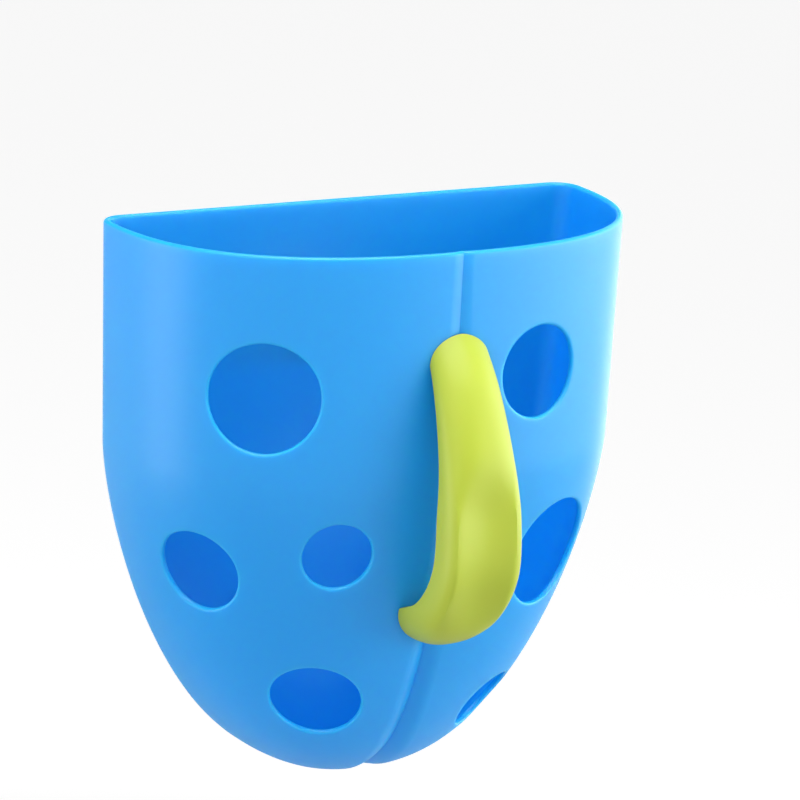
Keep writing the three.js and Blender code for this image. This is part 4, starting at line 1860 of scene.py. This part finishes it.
@dataclass
class Studio:
    """Camera at the photograph's angle, a floor with painted light that glows away from the object, and soft
    lights.
    """

    azimuth: float = -30.46
    elevation: float = 14.91
    roll: float = 2.76
    distance: float = 2021.37 * MM
    lens: float = 199.08
    film: float = 36.0
    target: tuple[float, float, float] = (4.45 * MM, -76.6 * MM, -29.65 * MM)
    floor_drop: float = 800 * MM
    floor_size: float = 80.0
    floor_tone: float = 0.5
    floor_roughness: float = 0.9
    floor_glow: float = 0.8
    glow_reach: Pair = (1.5, 2.5)
    sky_tones: Pair = (0.97, 0.22)
    sky_reach: Pair = (0.03, 0.25)
    lamps: tuple[Lamp, ...] = (
        Lamp("right_lamp", (1.41, -0.75, 0.2), (2.3, 1.2), 28.0),
        Lamp("rim_lamp", (1.3, 0.8, 0.05), (0.8, 1.3), 6.5),
        Lamp("left_lamp", (-1.45, 0.4, -0.05), (0.8, 1.3), 8.0),
        Lamp("fill_lamp", (-1.2, -0.75, 0.8), (1.2, 1.2), 6.0),
        Lamp("top_lamp", (0.0, -0.4, 1.4), (1.4, 1.4), 30.0),
    )

    def camera(self) -> None:
        """Sets the camera, with the photograph's slight roll."""
        a, e, r = (math.radians(v) for v in (self.azimuth, self.elevation, self.roll))
        back = Vector((math.sin(a) * math.cos(e), -math.cos(a) * math.cos(e), math.sin(e)))
        right = Vector((math.cos(a), math.sin(a), 0))
        up = back.cross(right)
        turned_right = math.cos(r) * right + math.sin(r) * up
        turned_up = math.cos(r) * up - math.sin(r) * right
        data = bpy.data.cameras.new("camera")
        data.lens = self.lens
        data.sensor_width = self.film
        made = new_object("camera", data)
        place = Matrix((turned_right, turned_up, back)).transposed().to_4x4()
        place.translation = Vector(self.target) + back * self.distance
        made.matrix_world = place
        bpy.context.scene.camera = made

    def floor(self, low: float) -> None:
        """Lays the floor below the object: grey, with painted light that glows ever brighter away from the
        object, so that it reads pale far off and stays dim beneath it.

        Args:
            low: The object's lowest point.
        """
        mesh = bpy.data.meshes.new("floor")
        reach, z = self.floor_size / 2, low - self.floor_drop
        mesh.from_pydata([(-reach, -reach, z), (reach, -reach, z), (reach, reach, z), (-reach, reach, z)],
                         [], [(0, 1, 2, 3)])
        pale = Dressing("pale_floor", (self.floor_tone,) * 3)
        pale.set(pale.shader, Roughness=self.floor_roughness, Emission_Color=(1, 1, 1, 1))
        # Painted light: the floor's emission grows with distance from the middle, a glowing floor rather than
        # a lamp.
        away = pale.nodes.new("ShaderNodeVectorMath")
        away.operation = "LENGTH"
        pale.links.new(pale.place.outputs["Object"], away.inputs[0])
        self.fade(pale.material.node_tree, away.outputs["Value"], self.glow_reach, (0, self.floor_glow),
                  pale.shader.inputs["Emission Strength"])
        mesh.materials.append(pale.material)
        new_object("floor", mesh)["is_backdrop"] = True

    def lights(self) -> None:
        """Sets the soft lamps round the object."""
        for lamp in self.lamps:
            data = bpy.data.lights.new(lamp.name, "AREA")
            data.shape = "RECTANGLE"
            data.size, data.size_y = lamp.size
            data.energy = lamp.power
            made = new_object(lamp.name, data)
            made.location = lamp.place
            made.visible_camera = False
            aim = Vector(lamp.place) - Vector(self.target)
            made.rotation_mode = "QUATERNION"
            made.rotation_quaternion = aim.to_track_quat("Z", "Y")

    def surroundings(self) -> None:
        """Sets the plain surroundings, pale at the horizon and dimmer overhead."""
        world = bpy.data.worlds.new("surroundings")
        bpy.context.scene.world = world
        world.use_nodes = True
        tree = world.node_tree
        sky = tree.nodes["Background"]
        sky.inputs["Color"].default_value = (1, 1, 1, 1)
        aim = tree.nodes.new("ShaderNodeTexCoord")
        parts = tree.nodes.new("ShaderNodeSeparateXYZ")
        tree.links.new(aim.outputs["Generated"], parts.inputs[0])
        self.fade(tree, parts.outputs["Z"], self.sky_reach, self.sky_tones, sky.inputs["Strength"])
        bpy.context.scene.view_settings.view_transform = "Standard"

    @staticmethod
    def fade(tree: bpy.types.NodeTree, source: bpy.types.NodeSocket, reach: Pair, tones: Pair,
             target: bpy.types.NodeSocket) -> None:
        """Fades an input smoothly from one strength to another.

        Args:
            tree: The tree that both belong to.
            source: What it follows.
            reach: Where along the source the fade starts and ends.
            tones: The strengths before and after it.
            target: The input.
        """
        made = tree.nodes.new("ShaderNodeMapRange")
        made.interpolation_type = "SMOOTHSTEP"
        made.inputs["From Min"].default_value, made.inputs["From Max"].default_value = reach
        made.inputs["To Min"].default_value, made.inputs["To Max"].default_value = tones
        tree.links.new(source, made.inputs["Value"])
        tree.links.new(made.outputs["Result"], target)


@dataclass(frozen=True)
class Piece:
    """A finished piece with the body that it rides on, its slot and the nodes that it stands for."""

    made: bpy.types.Object
    body: Body
    slot: Slot
    nodes: tuple[str, ...]

    def declare(self) -> None:
        """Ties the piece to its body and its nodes."""
        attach(self.made, self.body.value)
        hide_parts(*self.nodes)
        LOG.info("%s: %d faces on %s", self.made.name, len(self.made.data.polygons), self.body.value)


def main() -> None:
    """Builds the studio and every piece."""
    logging.basicConfig(level=logging.INFO, format="%(name)s: %(message)s")
    cad_low, cad_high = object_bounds()
    studio = Studio()
    studio.camera()
    studio.floor(cad_low.z)
    studio.lights()
    studio.surroundings()

    blue = PlasticFinish("satin_blue", color=(0.006, 0.34, 0.76), deep=(0.004, 0.32, 0.73), roughness=0.4,
                         roughness_spread=0.04, grain=900, subsurface=1.0).build()
    lime = PlasticFinish("matte_lime", color=(0.43, 0.52, 0.038), deep=(0.40, 0.49, 0.032), roughness=0.46,
                         roughness_spread=0.05, grain=1400, subsurface=0.1).build()
    clear = ClearFinish("clear_soft", color=(0.86, 0.93, 0.96), roughness=0.08, transmission=0.85).build()
    steel = SteelFinish("stainless", color=(0.62, 0.62, 0.63), roughness=0.28).build()

    scoop = Scoop(blue)
    screws = Screws(scoop, steel)
    handle = Handle(scoop, screws, lime)
    hanger = Hanger(blue, clear)
    grip, liner = handle.build()
    pieces = [
        Piece(scoop.build(screws), Body.SCOOP, Slot.SCOOP_BLUE, ("scoop_shell",)),
        Piece(grip, Body.SCOOP, Slot.HANDLE_LIME, ("handle_grip",)),
        Piece(liner, Body.SCOOP, Slot.HANDLE_LIME, ("handle_liner",)),
        Piece(screws.build(), Body.SCOOP, Slot.SCREW_STEEL, ("handle_screw_upper", "handle_screw_lower")),
        Piece(hanger.bracket(), Body.BRACKET, Slot.BRACKET_BLUE, ("wall_bracket",)),
        Piece(hanger.cups(), Body.BRACKET, Slot.CUP_CLEAR, ("suction_cup_left", "suction_cup_right")),
    ]
    for piece in pieces:
        piece.declare()


if __name__ == "__main__":
    main()
